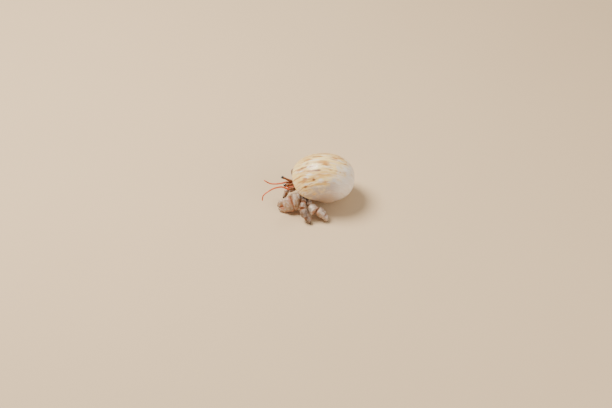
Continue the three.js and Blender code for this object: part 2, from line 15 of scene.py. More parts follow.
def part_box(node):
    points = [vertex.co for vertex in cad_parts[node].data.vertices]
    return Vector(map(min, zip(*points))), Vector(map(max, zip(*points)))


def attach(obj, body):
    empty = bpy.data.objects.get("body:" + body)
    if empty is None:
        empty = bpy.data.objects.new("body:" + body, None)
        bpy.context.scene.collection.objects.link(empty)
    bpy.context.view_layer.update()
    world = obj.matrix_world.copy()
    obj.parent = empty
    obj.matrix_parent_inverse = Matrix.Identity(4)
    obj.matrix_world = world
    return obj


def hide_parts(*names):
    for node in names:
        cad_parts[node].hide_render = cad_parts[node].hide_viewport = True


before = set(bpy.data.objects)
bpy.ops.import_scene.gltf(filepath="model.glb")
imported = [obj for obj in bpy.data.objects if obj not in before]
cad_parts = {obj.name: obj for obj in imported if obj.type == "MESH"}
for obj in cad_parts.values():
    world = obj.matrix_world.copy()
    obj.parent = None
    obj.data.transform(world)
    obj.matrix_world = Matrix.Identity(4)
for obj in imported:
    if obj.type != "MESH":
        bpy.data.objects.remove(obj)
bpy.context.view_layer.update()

bl_info = {
    "name": "Land Hermit Crab",
    "version": (1, 0, 0),
    "blender": (4, 5, 0),
    "location": "3D View > Sidebar > Hermit Crab",
    "description": "Builds the looks of a land hermit crab in a snail shell",
    "category": "Object",
}

MM = 0.001
TAU = 2 * math.pi
DEGREE = math.pi / 180

# ---------------------------------------------------------------- layout, in millimetres


EYE_RADIUS = 0.62
EYES = {"left": (3.35, -16.3, 11.55), "right": (-0.6, -16.3, 12.25)}
STALK_ROOTS = {"left": (2.2, -12.3, 9.9), "right": (0.6, -12.3, 9.9)}
MIDLINE = 1.4

# The shell: a tube of oval section that winds about an axis and grows as it winds.
APEX = np.array((-5.43, 3.25, 13.2))
SPIRE_TURN = 17.3 * DEGREE
SPIRE_RISE = 21.7 * DEGREE
LIP_RISE = 27.1 * DEGREE
LIP_ADVANCE = 10 * DEGREE
WIDTH_GROWTH = 1.654
HEIGHT_GROWTH = 1.336
WHORL_OFFSET = 3.314
WHORL_DROP = 9.982
WHORL_HALF_WIDTH = 10.873
WHORL_HALF_HEIGHT = 9.767
ROUNDNESS = 0.917
CENTRE_DROP = 7
BASE_DEPTH = 12.3
BASE_BLEND = 42 * DEGREE
CROSSING_FADE = 90 * DEGREE
WALL = 0.9
INNER_LIP = 0.3
LIP_ROUNDING = 0.3
LIP_BULGE = 0.22
CAVITY_TURN = 150 * DEGREE
CAVITY_RINGS = 40
WHORLS_SEEN = 4
SHELL_TURNS = 380
SHELL_COLUMNS = 150
# Growth lines and wear die out this far from either end of the axis
POLE_FADE = 42 * DEGREE
SUTURE_GAP = 0.06
SUTURE_DEPTH = 0.12

# How finely the search along a ray from the middle of the shell looks for its surface
RAY_STEPS = 60
RAY_HALVINGS = 12
RAY_LENGTH = 21.0

# How finely limb segments, feelers and rounded bodies are made, and how square they are
LINK_RINGS = 44
LINK_SIDES = 36
LINK_SQUARENESS = 0.78
# How sharply a skin passes from one segment's numbers to the next one's
LINK_BLEND = 9.0
JOINT_WIDTH = 0.22
FEELER_SIDES = 14
FEELER_RING_POINTS = 6
FEELER_TIP = 0.97
BODY_SIDES = 40
BODY_STEPS = 6
BODY_SQUARENESS = 0.85
CURVE_STEPS = 24

# Closed bubbles with fewer points than this are dropped from a welded skin
BUBBLE_POINTS = 200

BRISTLE_SIDES = 3
BRISTLES_PER_TUFT = 3
BRISTLE_RADIUS = 0.026
# Half the size of a bristle's place on the unwrap
BRISTLE_PATCH = 0.0015

# Marks on the shell, in degrees: turn, angle, half length along the whorl, half width, strength.
MARKS = {
    "brown": ((-46, -17, 8, 1.7, 0.85), (-18, -8.6, 8, 1.6, 0.6), (-38, -31.4, 3.6, 2.6, 0.75),
              (-16, -39.5, 4.4, 2.0, 0.7), (-27, -2.6, 4, 1.8, 0.5), (-35, 12.4, 4, 2.0, 0.75),
              (-63, -10, 8, 5, 0.4), (-92, 17, 10, 1.4, 0.5), (-150, -5, 12, 1.7, 0.6),
              (-186, 12, 9, 1.7, 0.6), (-128, 20, 10, 1.5, 0.6), (-236, -12, 10, 1.8, 0.6)),
    "tan": ((-42, 12, 10, 2.6, 1.0), (-58, 25, 34, 2.4, 0.9), (-76, 11, 11, 6, 0.65),
            (-33, -17, 12, 2.0, 0.7), (-33, -9.6, 4, 1.6, 0.8), (-90, 14.5, 12, 2.0, 0.8),
            (-21, -28, 6, 3.2, 0.7), (-60, -6, 14, 4, 0.5), (-18, 3, 12, 2.0, 0.5),
            (-38, -31, 6, 4, 0.6), (-17, -39, 8, 3.4, 0.6), (-28, -3, 8, 2.6, 0.6),
            (-120, -14, 12, 2.2, 0.5), (-165, 2, 14, 2.4, 0.7), (-205, -14, 12, 2.4, 0.7)),
    "ochre": ((-50, -26, 19, 2.2, 0.9), (-29, -33, 10, 1.9, 0.9), (-48, -40, 16, 3.0, 0.7),
              (-22, 8, 14, 3.0, 0.6), (-52, -1, 20, 5, 0.5), (-75, -37, 8, 1.8, 0.5),
              (-14, -21, 10, 2.2, 0.5), (-64, -24, 7, 2.4, 0.6), (-140, 8, 18, 3, 0.6),
              (-38, 18, 24, 3, 0.6), (-12, -30, 10, 2.6, 0.5)),
    # The pale marks are partly pale spots of the shell and partly painted highlights: the small
    # bright ones near turns -50 to -24 and angles -33 to -22 are painted highlights.
    "pale_and_painted_light": ((-50, -33, 6, 2.2, 1.0), (-24, -26, 4, 2.0, 1.0), (-28, -9, 3, 1.8, 0.9),
             (-29, -22, 6, 1.5, 0.8), (-20, -36, 7, 2.2, 0.6), (-40, 3, 16, 1.6, 0.7),
             (-100, -8, 14, 6, 0.6), (-88, 6, 14, 2.6, 0.6), (-12, -14, 9, 2.2, 0.6),
             (-58, 16, 14, 1.6, 0.6), (-4, -47, 10, 5, 0.55)),
}

FLAGELLA = {
    "left": ((3.9, -14.7, 9.4), (4.5, -16.2, 10.9), (5.2, -18.2, 12.8), (6.4, -21.3, 14.0),
             (7.6, -23.9, 14.2), (8.6, -26.4, 13.3), (9.2, -27.0, 11.1)),
    "right": ((-0.9, -14.6, 8.9), (-0.9, -16.8, 8.7), (-1.3, -19.2, 8.6),
              (-1.8, -21.3, 9.0), (-2.6, -23.4, 10.5)),
}
ANTENNULES = {
    "left": ((1.8, -12.2, 8.6), (1.95, -14.2, 8.5), (2.0, -15.2, 9.5), (2.1, -16.2, 8.9)),
    "right": ((1.0, -12.2, 8.6), (0.85, -14.2, 8.5), (0.8, -15.2, 9.5), (0.7, -16.2, 8.9)),
}

UPRIGHT = (0, 0, 1)
CLAW_UP = (-0.55, -0.2, 0.84)
SMALL_CLAW_UP = (0.4, 0.1, 0.9)


def link(start, end, depth, width, up=UPRIGHT, bow=0.0):
    """One hard segment of a limb, with its half sizes at the near end, middle and far end."""
    return {"start": np.array(start), "end": np.array(end), "depth": depth, "width": width,
            "up": np.array(up, float), "bow": bow}


LIMBS = {
    "cheliped_left": {
        "base": link((2.9, -10.1, 6.6), (4.7, -10.3, 6.2), (0.9, 1.0, 1.0), (0.8, 0.8, 0.8)),
        "merus": link((4.3, -10.2, 6.4), (7.2, -11.6, 5.1), (1.2, 2.0, 2.3), (0.9, 1.2, 1.2),
                      CLAW_UP),
        "carpus": link((7.0, -11.0, 5.2), (6.9, -14.2, 4.7), (2.2, 3.2, 3.3), (1.3, 1.8, 1.6),
                       CLAW_UP),
        "palm": link((7.2, -13.7, 4.5), (5.9, -17.4, 2.8), (2.9, 3.1, 2.5), (1.5, 1.9, 1.3),
                     CLAW_UP),
        "finger": link((6.8, -16.3, 1.85), (5.35, -19.6, 1.15), (1.6, 1.25, 0.42),
                       (1.1, 0.95, 0.42), CLAW_UP, -0.2),
        "dactyl": link((5.4, -16.9, 4.0), (4.85, -19.8, 1.95), (1.6, 1.3, 0.4),
                       (1.05, 0.9, 0.4), CLAW_UP, 0.35),
    },
    "cheliped_right": {
        "base": link((-0.2, -10.1, 6.4), (-1.8, -10.6, 6.0), (0.8, 0.8, 0.8),
                     (0.65, 0.65, 0.65)),
        "merus": link((-1.5, -10.4, 6.1), (-3.4, -12.1, 4.9), (0.8, 1.1, 1.2), (0.7, 0.8, 0.9)),
        "carpus": link((-3.4, -11.7, 4.9), (-2.2, -13.6, 4.1), (1.0, 1.4, 1.4),
                       (0.8, 1.0, 0.9)),
        "palm": link((-2.4, -13.2, 4.2), (-0.7, -15.0, 2.9), (1.3, 1.6, 1.3), (0.8, 1.0, 0.8),
                     SMALL_CLAW_UP),
        "finger": link((-1.3, -14.3, 2.4), (0.5, -16.2, 1.1), (0.8, 0.6, 0.28),
                       (0.65, 0.5, 0.28), SMALL_CLAW_UP, -0.15),
        "dactyl": link((-1.1, -14.7, 3.7), (0.6, -16.5, 1.6), (0.75, 0.55, 0.27),
                       (0.6, 0.5, 0.27), SMALL_CLAW_UP, 0.2),
    },
    "leg2_left": {
        "base": link((2.9, -8.8, 6.4), (4.9, -9.1, 6.3), (0.9, 1.0, 1.0), (0.7, 0.72, 0.7)),
        "merus": link((4.6, -9.0, 6.4), (10.3, -10.3, 6.7), (1.0, 1.5, 1.5), (0.75, 0.95, 1.1)),
        "carpus": link((10.0, -10.3, 6.7), (12.2, -11.4, 5.5), (1.3, 1.6, 1.6),
                       (1.1, 1.35, 1.4)),
        "propodus": link((12.1, -11.4, 5.8), (14.4, -10.6, 2.7), (1.5, 1.75, 1.45),
                         (1.35, 1.5, 1.3)),
        "dactyl": link((14.1, -10.5, 3.0), (15.95, -9.2, 0.0), (1.35, 1.15, 0.45),
                       (1.2, 1.05, 0.42), UPRIGHT, 0.25),
    },
    "leg2_right": {
        "base": link((-0.1, -8.8, 6.4), (-2.0, -9.0, 6.3), (0.9, 0.95, 0.95), (0.68, 0.7, 0.7)),
        "merus": link((-1.7, -8.9, 6.4), (-6.4, -9.6, 7.2), (1.0, 1.45, 1.45),
                      (0.75, 0.9, 1.0)),
        "carpus": link((-6.1, -9.5, 7.2), (-8.9, -9.2, 5.9), (1.25, 1.5, 1.5),
                       (1.1, 1.35, 1.35)),
        "propodus": link((-8.6, -9.2, 6.1), (-10.3, -8.2, 3.0), (1.4, 1.6, 1.35),
                         (1.3, 1.45, 1.2)),
        "dactyl": link((-10.2, -8.4, 3.3), (-11.2, -6.7, 0.0), (1.25, 1.0, 0.4),
                       (1.15, 1.0, 0.4), UPRIGHT, 0.25),
    },
    "leg3_left": {
        "base": link((2.9, -7.5, 6.2), (4.9, -7.2, 6.0), (0.85, 0.95, 0.95), (0.65, 0.7, 0.7)),
        "merus": link((4.6, -7.2, 5.9), (11.2, -8.2, 5.0), (1.0, 1.6, 1.8), (0.75, 1.0, 1.4)),
        "carpus": link((10.9, -8.1, 5.0), (14.0, -6.7, 4.2), (1.8, 2.15, 1.9), (1.4, 1.95, 1.9)),
        "propodus": link((13.6, -5.6, 4.9), (15.3, -3.4, 2.8), (1.6, 1.75, 1.4),
                         (1.6, 1.75, 1.4)),
        "dactyl": link((15.1, -3.7, 3.1), (16.5, -2.3, 0.0), (1.3, 1.15, 0.45),
                       (1.3, 1.1, 0.45), UPRIGHT, 0.25),
    },
    "leg3_right": {
        "base": link((-0.1, -7.6, 5.9), (-1.9, -7.7, 5.2), (0.7, 0.75, 0.75),
                     (0.6, 0.62, 0.62)),
        "merus": link((-1.6, -7.7, 5.2), (-6.9, -7.5, 4.8), (0.8, 1.3, 1.4), (0.7, 0.85, 1.0)),
        "carpus": link((-6.6, -7.4, 4.9), (-9.4, -5.5, 4.6), (1.3, 1.6, 1.55),
                       (1.1, 1.4, 1.4)),
        "propodus": link((-9.1, -5.5, 4.8), (-11.0, -2.9, 2.9), (1.45, 1.6, 1.35),
                         (1.35, 1.5, 1.25)),
        "dactyl": link((-10.9, -3.2, 3.2), (-11.9, -0.9, 0.0), (1.25, 1.0, 0.4),
                       (1.2, 1.0, 0.4), UPRIGHT, 0.25),
    },
}
BRACES = {
    "leg4_left": link((3.5, -7.7, 8.2), (7.6, -6.2, 9.2), (0.6, 0.7, 0.5), (0.5, 0.6, 0.42)),
    "leg4_right": link((-0.5, -8.4, 8.4), (-2.9, -8.3, 11.0), (0.5, 0.6, 0.45),
                       (0.5, 0.55, 0.4)),
}
MAXILLIPEDS = {
    "maxilliped_left": link((2.1, -11.5, 7.2), (2.1, -14.3, 6.1), (0.6, 0.6, 0.35),
                            (0.45, 0.5, 0.35)),
    "maxilliped_right": link((0.7, -11.5, 7.2), (0.7, -14.3, 6.1), (0.6, 0.6, 0.35),
                             (0.45, 0.5, 0.35)),
}
PEDUNCLES = {
    "antenna_peduncle_left": link((3.2, -12.0, 8.8), (4.0, -15.0, 9.5), (0.7, 0.7, 0.5),
                                  (0.6, 0.6, 0.45)),
    "antenna_peduncle_right": link((-0.4, -12.0, 8.8), (-0.9, -14.9, 8.9), (0.7, 0.7, 0.5),
                                   (0.6, 0.6, 0.45)),
}

# The layout's origin in the frame, from where the left eye is.
SHIFT = (np.array(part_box("eye_left")).sum(axis=0) / 2) / MM - np.array(EYES["left"])


# ---------------------------------------------------------------- arithmetic and noise

def smoothstep(value):
    t = np.clip(value, 0, 1)
    return t * t * (3 - 2 * t)


def unit(vector):
    return vector / np.linalg.norm(vector)


def squared(value, power):
    """A sine or cosine drawn out towards a square wave."""
    return np.sign(value) * np.abs(value) ** power


def hashed(cell, seed):
    """A steady value from 0 to 1 for each cell of a lattice."""
    mixed = cell[..., 0] * 73856093 ^ cell[..., 1] * 19349663 ^ cell[..., 2] * 83492791
    mixed = (mixed ^ (seed * 40503 + 9176)) & 0xFFFFFFFF
    mixed = ((mixed ^ (mixed >> 15)) * 0x5BD1E995) & 0xFFFFFFFF
    mixed = ((mixed ^ (mixed >> 13)) * 0x2C1B3C6D) & 0xFFFFFFFF
    return (mixed ^ (mixed >> 16)) / 0xFFFFFFFF


def noise(points, size, seed):
    """Smooth noise from -1 to 1, with features about size millimetres across."""
    scaled = points / size
    cell = np.floor(scaled).astype(np.int64)
    part = smoothstep(scaled - cell)
    total = np.zeros(points.shape[:-1])
    for corner in itertools.product((0, 1), repeat=3):
        weight = np.prod(np.where(np.array(corner) == 1, part, 1 - part), axis=-1)
        total += weight * hashed(cell + np.array(corner), seed)
    return 2 * total - 1


def grains(points, size, seed):
    """Rounded grains from 0 to 1, about size millimetres apart."""
    scaled = points / size
    cell = np.floor(scaled).astype(np.int64)
    nearest = np.full(points.shape[:-1], 9.0)
    for offset in itertools.product((-1, 0, 1), repeat=3):
        other = cell + np.array(offset)
        centre = other + np.stack([hashed(other, seed + axis) for axis in range(3)], axis=-1)
        nearest = np.minimum(nearest, np.linalg.norm(scaled - centre, axis=-1))
    return smoothstep(1 - nearest / 0.55)


# ---------------------------------------------------------------- meshes

def loft(rings):
    """Closed rings of equal length joined into one skin, with a fan over each end."""
    count = len(rings[0])
    points = [point for ring in rings for point in ring]
    points += [np.mean(rings[0], axis=0), np.mean(rings[-1], axis=0)]
    faces = []
    for ring in range(len(rings) - 1):
        for side in range(count):
            a = ring * count + side
            b = ring * count + (side + 1) % count
            faces.append((a, b, b + count, a + count))
    last = (len(rings) - 1) * count
    for side in range(count):
        after = (side + 1) % count
        faces.append((len(points) - 2, after, side))
        faces.append((len(points) - 1, last + side, last + after))
    return np.array(points), faces


def joined(parts):
    """Several (points, faces) as one."""
    faces = []
    start = 0
    for points, part_faces in parts:
        faces += [tuple(start + index for index in face) for face in part_faces]
        start += len(points)
    return np.concatenate([points for points, _ in parts]), faces


def face_normals(points, faces):
    """The normal at each point, from its faces."""
    normals = np.zeros_like(points)
    for size in (3, 4):
        group = np.array([face for face in faces if len(face) == size], dtype=int)
        if len(group) == 0:
            continue
        far = group[:, 3] if size == 4 else group[:, 2]
        across = np.cross(points[group[:, 1]] - points[far],
                          points[group[:, 2]] - points[group[:, 0]])
        for corner in range(size):
            np.add.at(normals, group[:, corner], across)
    length = np.linalg.norm(normals, axis=1, keepdims=True)
    return normals / np.maximum(length, 1e-12)


def without_bubbles(points, corners):
    """The skin without the tiny closed bubbles that overlapping parts can leave inside it."""
    label = np.arange(len(points))
    while True:
        before = label.copy()
        lowest = label[corners].min(axis=1)
        for column in corners.T:
            np.minimum.at(label, column, lowest)
        label = label[label]
        if (label == before).all():
            break
    kept = np.bincount(label, minlength=len(points))[label] >= BUBBLE_POINTS
    place = np.cumsum(kept) - 1
    return points[kept], place[corners[kept[corners[:, 0]]]]


def welded(parts, voxel, smoothing):
    """One closed skin round overlapping closed parts, eased where they meet."""
    points, faces = joined(parts)
    mesh = bpy.data.meshes.new("weld")
    mesh.from_pydata(points.tolist(), [], faces)
    source = bpy.data.objects.new("weld", mesh)
    bpy.context.scene.collection.objects.link(source)
    remesh = source.modifiers.new("Weld", "REMESH")
    remesh.mode = "VOXEL"
    remesh.voxel_size = voxel
    ease = source.modifiers.new("Ease", "SMOOTH")
    ease.factor = 0.5
    ease.iterations = smoothing
    bpy.context.view_layer.update()
    result = source.evaluated_get(bpy.context.evaluated_depsgraph_get()).to_mesh()
    new_points = np.empty(len(result.vertices) * 3)
    result.vertices.foreach_get("co", new_points)
    corners = np.empty(len(result.loops), dtype=np.int32)
    result.loops.foreach_get("vertex_index", corners)
    bpy.data.objects.remove(source)
    bpy.data.meshes.remove(mesh)
    if len(corners) == 0:
        raise RuntimeError("the weld of the parts came out empty")
    points, corners = without_bubbles(new_points.reshape(-1, 3), corners.reshape(-1, 4))
    return points, [tuple(face) for face in corners.tolist()]


def raised(points, faces, relief):
    """The points moved out along their normals by the relief, in millimetres."""
    return points + face_normals(points, faces) * relief[:, None]


def make_piece(name, points, faces, material, slot, nodes, values=None):
    """A smooth-shaded object in the frame, with one attribute for each entry of values."""
    mesh = bpy.data.meshes.new(name)
    mesh.from_pydata(((points + SHIFT) * MM).tolist(), [], faces)
    mesh.shade_smooth()
    for label, numbers in (values or {}).items():
        layer = mesh.attributes.new(label, "FLOAT", "POINT")
        layer.data.foreach_set("value", np.ascontiguousarray(numbers, dtype=np.float32))
    piece = bpy.data.objects.new(name, mesh)
    bpy.context.scene.collection.objects.link(piece)
    mesh.materials.append(material)
    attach(piece, "root")
    if nodes:
        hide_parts(*nodes)
    return piece


# ---------------------------------------------------------------- material helpers

class Finish:
    """A principled material and short ways to add the nodes that drive it."""

    def __init__(self, name, roughness, specular=0.5, coat=0.0, coat_roughness=0.2,
                 subsurface=0.0):
        self.material = bpy.data.materials.new(name)
        self.material.use_nodes = True
        self.tree = self.material.node_tree
        self.shader = self.tree.nodes["Principled BSDF"]
        self.shader.inputs["Roughness"].default_value = roughness
        self.shader.inputs["Specular IOR Level"].default_value = specular
        self.shader.inputs["Coat Weight"].default_value = coat
        self.shader.inputs["Coat Roughness"].default_value = coat_roughness
        self.shader.inputs["Subsurface Weight"].default_value = subsurface
        self.shader.inputs["Subsurface Scale"].default_value = 0.4 * MM
        self.shader.inputs["Subsurface Radius"].default_value = (1.0, 0.5, 0.3)
        coordinates = self.tree.nodes.new("ShaderNodeTexCoord").outputs["Object"]
        self.place = self.add("ShaderNodeMapping", Vector=coordinates)
        self.place.inputs["Scale"].default_value = (1 / MM, 1 / MM, 1 / MM)

    def add(self, kind, **inputs):
        node = self.tree.nodes.new(kind)
        for label, value in inputs.items():
            self.feed(node.inputs[label.replace("_", " ")], value)
        return node

    def feed(self, socket, value):
        if isinstance(value, bpy.types.NodeSocket):
            self.tree.links.new(value, socket)
        elif socket.type == "RGBA":
            socket.default_value = (*value, 1.0)
        else:
            socket.default_value = value

    def value_of(self, attribute):
        node = self.tree.nodes.new("ShaderNodeAttribute")
        node.attribute_name = attribute
        return node.outputs["Fac"]

    def vector(self, x, y, z):
        return self.add("ShaderNodeCombineXYZ", X=x, Y=y, Z=z).outputs["Vector"]

    def math(self, operation, first, second):
        node = self.tree.nodes.new("ShaderNodeMath")
        node.operation = operation
        self.feed(node.inputs[0], first)
        self.feed(node.inputs[1], second)
        return node.outputs["Value"]

    def times(self, first, second):
        return self.math("MULTIPLY", first, second)

    def noise(self, scale, detail=2.0, rough=0.5, where=None):
        node = self.add("ShaderNodeTexNoise", Scale=scale, Detail=detail, Roughness=rough)
        self.feed(node.inputs["Vector"], where or self.place.outputs["Vector"])
        return node.outputs["Fac"]

    def cells(self, scale):
        node = self.add("ShaderNodeTexVoronoi", Scale=scale, Vector=self.place.outputs["Vector"])
        return node.outputs["Distance"]

    def range(self, value, low, high, out_low=0.0, out_high=1.0):
        node = self.add("ShaderNodeMapRange", Value=value, From_Min=low, From_Max=high,
                        To_Min=out_low, To_Max=out_high)
        node.interpolation_type = "SMOOTHSTEP"
        return node.outputs["Result"]

    def mix(self, amount, first, second):
        node = self.tree.nodes.new("ShaderNodeMix")
        node.data_type = "RGBA"
        self.feed(node.inputs["Factor"], amount)
        self.feed(node.inputs[6], first)
        self.feed(node.inputs[7], second)
        return node.outputs[2]

    def colour(self, value):
        self.feed(self.shader.inputs["Base Color"], value)

    def roughness(self, value):
        self.feed(self.shader.inputs["Roughness"], value)

    def bump(self, height, depth, strength):
        node = self.add("ShaderNodeBump", Strength=strength, Distance=depth * MM, Height=height)
        self.feed(self.shader.inputs["Normal"], node.outputs["Normal"])


def shaded(colour, amount):
    return tuple(min(part * amount, 1) for part in colour)


def linear(red, green, blue):
    """An sRGB colour, 0 to 255, as the linear values that a shader takes."""
    parts = []
    for part in (red, green, blue):
        share = part / 255
        parts.append(share / 12.92 if share <= 0.04045 else ((share + 0.055) / 1.055) ** 2.4)
    return tuple(parts)


# ---------------------------------------------------------------- the shell's form

SPIRE_AXIS = np.array((
    -math.cos(SPIRE_RISE) * math.cos(SPIRE_TURN),
    math.cos(SPIRE_RISE) * math.sin(SPIRE_TURN),
    math.sin(SPIRE_RISE),
))
LIP_AXIS = np.array((0, -math.cos(LIP_RISE), math.sin(LIP_RISE)))
LIP_AXIS = unit(LIP_AXIS - SPIRE_AXIS * LIP_AXIS.dot(SPIRE_AXIS))
CROWN_AXIS = np.cross(SPIRE_AXIS, LIP_AXIS)


def tube_reach(where, angle, side):
    """Distance from the centre on the axis to the surface of the tube."""
    power = 2 / ROUNDNESS
    wide = WIDTH_GROWTH ** (where / TAU)
    high = HEIGHT_GROWTH ** (where / TAU)

    def holds(distance):
        radius = side * distance * np.cos(angle)
        height = distance * np.sin(angle) - CENTRE_DROP
        across = (radius / wide - WHORL_OFFSET) / WHORL_HALF_WIDTH
        up = (height / high + WHORL_DROP) / WHORL_HALF_HEIGHT
        return np.abs(across) ** power + np.abs(up) ** power < 1

    last = np.zeros(np.broadcast(where, angle).shape)
    for step in range(1, RAY_STEPS + 1):
        last = np.where(holds(step / RAY_STEPS * RAY_LENGTH), step, last)
    inside = last / RAY_STEPS * RAY_LENGTH
    outside = (last + 1) / RAY_STEPS * RAY_LENGTH
    for _ in range(RAY_HALVINGS):
        middle = (inside + outside) / 2
        held = holds(middle)
        inside = np.where(held, middle, inside)
        outside = np.where(held, outside, middle)
    return np.where(last > 0, inside, 0)


def shell_reach(turn, angle):
    """Distance from the centre to the outside of the shell, in the half plane at a turn."""
    turn, angle = np.broadcast_arrays(turn, angle)
    own = np.zeros(turn.shape)
    for whorl in range(WHORLS_SEEN):
        own = np.maximum(own, tube_reach(turn - TAU * whorl, angle, 1))
    opposite = turn + math.pi
    opposite = opposite - TAU * np.ceil(np.maximum(opposite - LIP_ADVANCE, 0) / TAU)
    crossing = tube_reach(np.minimum(opposite, -CROSSING_FADE), angle, -1)
    share = smoothstep((LIP_ADVANCE - opposite) / CROSSING_FADE)
    reach = own + (np.maximum(own, crossing) - own) * share
    blend = smoothstep((angle + math.pi / 2) / BASE_BLEND)
    return BASE_DEPTH + (reach - BASE_DEPTH) * blend


def suture_strength(turn, angle):
    """How close a place is to the seam between two whorls, from 0 to 1."""
    reaches = np.stack([tube_reach(turn - TAU * whorl, angle, 1)
                        for whorl in range(WHORLS_SEEN + 1)])
    order = np.sort(reaches, axis=0)
    size = WIDTH_GROWTH ** -reaches.argmax(axis=0).astype(float)
    gap = (order[-1] - order[-2]) / size
    upper = smoothstep((angle - 8 * DEGREE) / (20 * DEGREE))
    return np.exp(-(gap / SUTURE_GAP) ** 2) * upper


def shell_point(turn, angle, distance):
    turn, angle, distance = np.broadcast_arrays(turn, angle, distance)
    radius = (distance * np.cos(angle))[..., None]
    height = (distance * np.sin(angle) - CENTRE_DROP)[..., None]
    around = np.cos(turn)[..., None] * LIP_AXIS - np.sin(turn)[..., None] * CROWN_AXIS
    return APEX + height * SPIRE_AXIS + radius * around


def crescent(turn, inset, count):
    """The outline of the hollow at a turn: its outer wall, then back along its inner one."""
    scan = np.arange(-89, 89, 0.5) * DEGREE
    depth = (shell_reach(turn, scan) - WALL) - (shell_reach(turn - TAU, scan) + INNER_LIP)
    depth = depth - 2 * inset
    middle = int(np.argmin(np.abs(scan + 20 * DEGREE)))
    low = middle
    while depth[low - 1] > WALL:
        low -= 1
    high = middle
    while depth[high + 1] > WALL:
        high += 1
    ends = (scan[low] + inset * 0.125, scan[high] - inset * 0.125)
    angles = np.linspace(ends[0], ends[1], count)
    outer = shell_reach(turn, angles) - WALL - inset
    inner = shell_reach(turn - TAU, angles) + INNER_LIP + inset
    top = shell_point(turn, angles[-1] + 2 * DEGREE, (outer[-1] + inner[-1]) / 2)
    bottom = shell_point(turn, angles[0] - 2 * DEGREE, (outer[0] + inner[0]) / 2)
    return np.concatenate((
        shell_point(turn, angles, outer), top[None],
        shell_point(turn, angles[::-1], inner[::-1]), bottom[None],
    ))


def shell_relief(turn, angle, points):
    """How far the outside stands proud or is worn back, in millimetres."""
    slant = turn * 10 + 1.6 * np.sin(angle * 1.3) + 0.5 * noise(points, 6.0, 3)
    relief = 0.012 * np.sin(angle * 46)
    for across, rise, height, seed in ((2.6, 1.2, 0.022, 5), (0.55, 1.2, 0.05, 7)):
        lines = np.stack((slant * across, angle * rise, 0 * slant), axis=-1)
        relief = relief + height * noise(lines, 1.0, seed)
    relief = relief - 0.05 * smoothstep((noise(points, 1.5, 11) - 0.62) / 0.3)
    return relief * smoothstep((math.pi / 2 - np.abs(angle)) / POLE_FADE)


def outside_faces(rows, columns):
    """Faces over a grid of points, with a fan round the base point and one round the tip."""
    base = rows * columns
    faces = []
    for here in range(0, base - columns, columns):
        after = here + columns
        faces += [(a, a + columns, a + columns + 1, a + 1) for a in range(here, after - 1)]
        faces += [(base, after, here), (base + 1, after - 1, after + columns - 1)]
    return faces


def hollow_loops(edge, columns):
    """Loops from the outer edge of the lip round its rim, and down the hollow to its end."""
    ahead = -(math.sin(LIP_ADVANCE) * LIP_AXIS + math.cos(LIP_ADVANCE) * CROWN_AXIS)
    mouth = crescent(LIP_ADVANCE, 0.0, columns)
    loops = []
    for share in (0.2, 0.5, 0.8):
        bulge = LIP_BULGE * math.sqrt(1 - (2 * share - 1) ** 2)
        loops.append(edge + (mouth - edge) * share + ahead * bulge)
    for ring in range(CAVITY_RINGS + 1):
        at = LIP_ADVANCE - (LIP_ADVANCE + CAVITY_TURN) * ring / CAVITY_RINGS
        loops.append(crescent(at, 0.0, columns))
    return loops


def shell_form():
    """The whole shell: outside, rounded lip, and the hollow behind its mouth."""
    rows = SHELL_TURNS + 1
    columns = SHELL_COLUMNS - 1
    turn = (LIP_ADVANCE - TAU + TAU * np.arange(rows) / SHELL_TURNS)[:, None]
    angle = (-math.pi / 2 + math.pi * np.arange(1, SHELL_COLUMNS) / SHELL_COLUMNS)[None, :]
    turn, angle = np.broadcast_arrays(turn, angle)
    reach = shell_reach(turn, angle)
    relief = shell_relief(turn, angle, shell_point(turn, angle, reach))
    relief = relief * smoothstep((turn - LIP_ADVANCE + TAU) / (6 * DEGREE))
    relief = relief * smoothstep((LIP_ADVANCE - turn) / (3 * DEGREE))
    from_lip = np.clip((LIP_ADVANCE - turn) / (2.6 * DEGREE), 0, 1)
    rounding = LIP_ROUNDING * (1 - np.sqrt(1 - (1 - from_lip) ** 2))
    suture = suture_strength(turn, angle)
    outside = shell_point(turn, angle, reach + relief - rounding - SUTURE_DEPTH * suture)
    base = shell_point(0.0, -math.pi / 2, BASE_DEPTH)
    tip = shell_point(0.0, math.pi / 2, shell_reach(0.0, math.pi / 2))
    points = [outside.reshape(-1, 3), base[None], tip[None]]
    turns = [turn.ravel(), [0.0], [0.0]]
    angles = [angle.ravel(), [-math.pi / 2], [math.pi / 2]]
    faces = outside_faces(rows, columns)
    base_index = rows * columns
    last = base_index - columns
    before = [*range(last, base_index), base_index + 1, *range(columns - 1, -1, -1), base_index]
    count = len(before)
    loops = hollow_loops(np.concatenate(points)[before], columns)
    start = base_index + 2
    for number, ring in enumerate(loops):
        now = range(start + number * count, start + (number + 1) * count)
        for index in range(count):
            after = (index + 1) % count
            faces.append((before[index], now[index], now[after], before[after]))
        before = now
        points.append(ring)
        turns.append(np.full(count, LIP_ADVANCE))
        angles.append(np.zeros(count))
    end = start + len(loops) * count
    points.append(loops[-1].mean(axis=0)[None])
    turns.append([0.0])
    angles.append([0.0])
    faces += [(before[index], end, before[(index + 1) % count]) for index in range(count)]
    inside = np.zeros(end + 1)
    inside[start:] = 1
    seam_line = np.zeros(end + 1)
    seam_line[:suture.size] = suture.ravel()
    return (np.concatenate(points), faces,
            {"turn": np.concatenate(turns), "angle": np.concatenate(angles), "inside": inside,
             "suture": seam_line})


# ---------------------------------------------------------------- the body's forms

def along(values, t):
    near, middle, far = values
    return 2 * near * (t - 0.5) * (t - 1) + 4 * middle * t * (1 - t) + 2 * far * t * (t - 0.5)


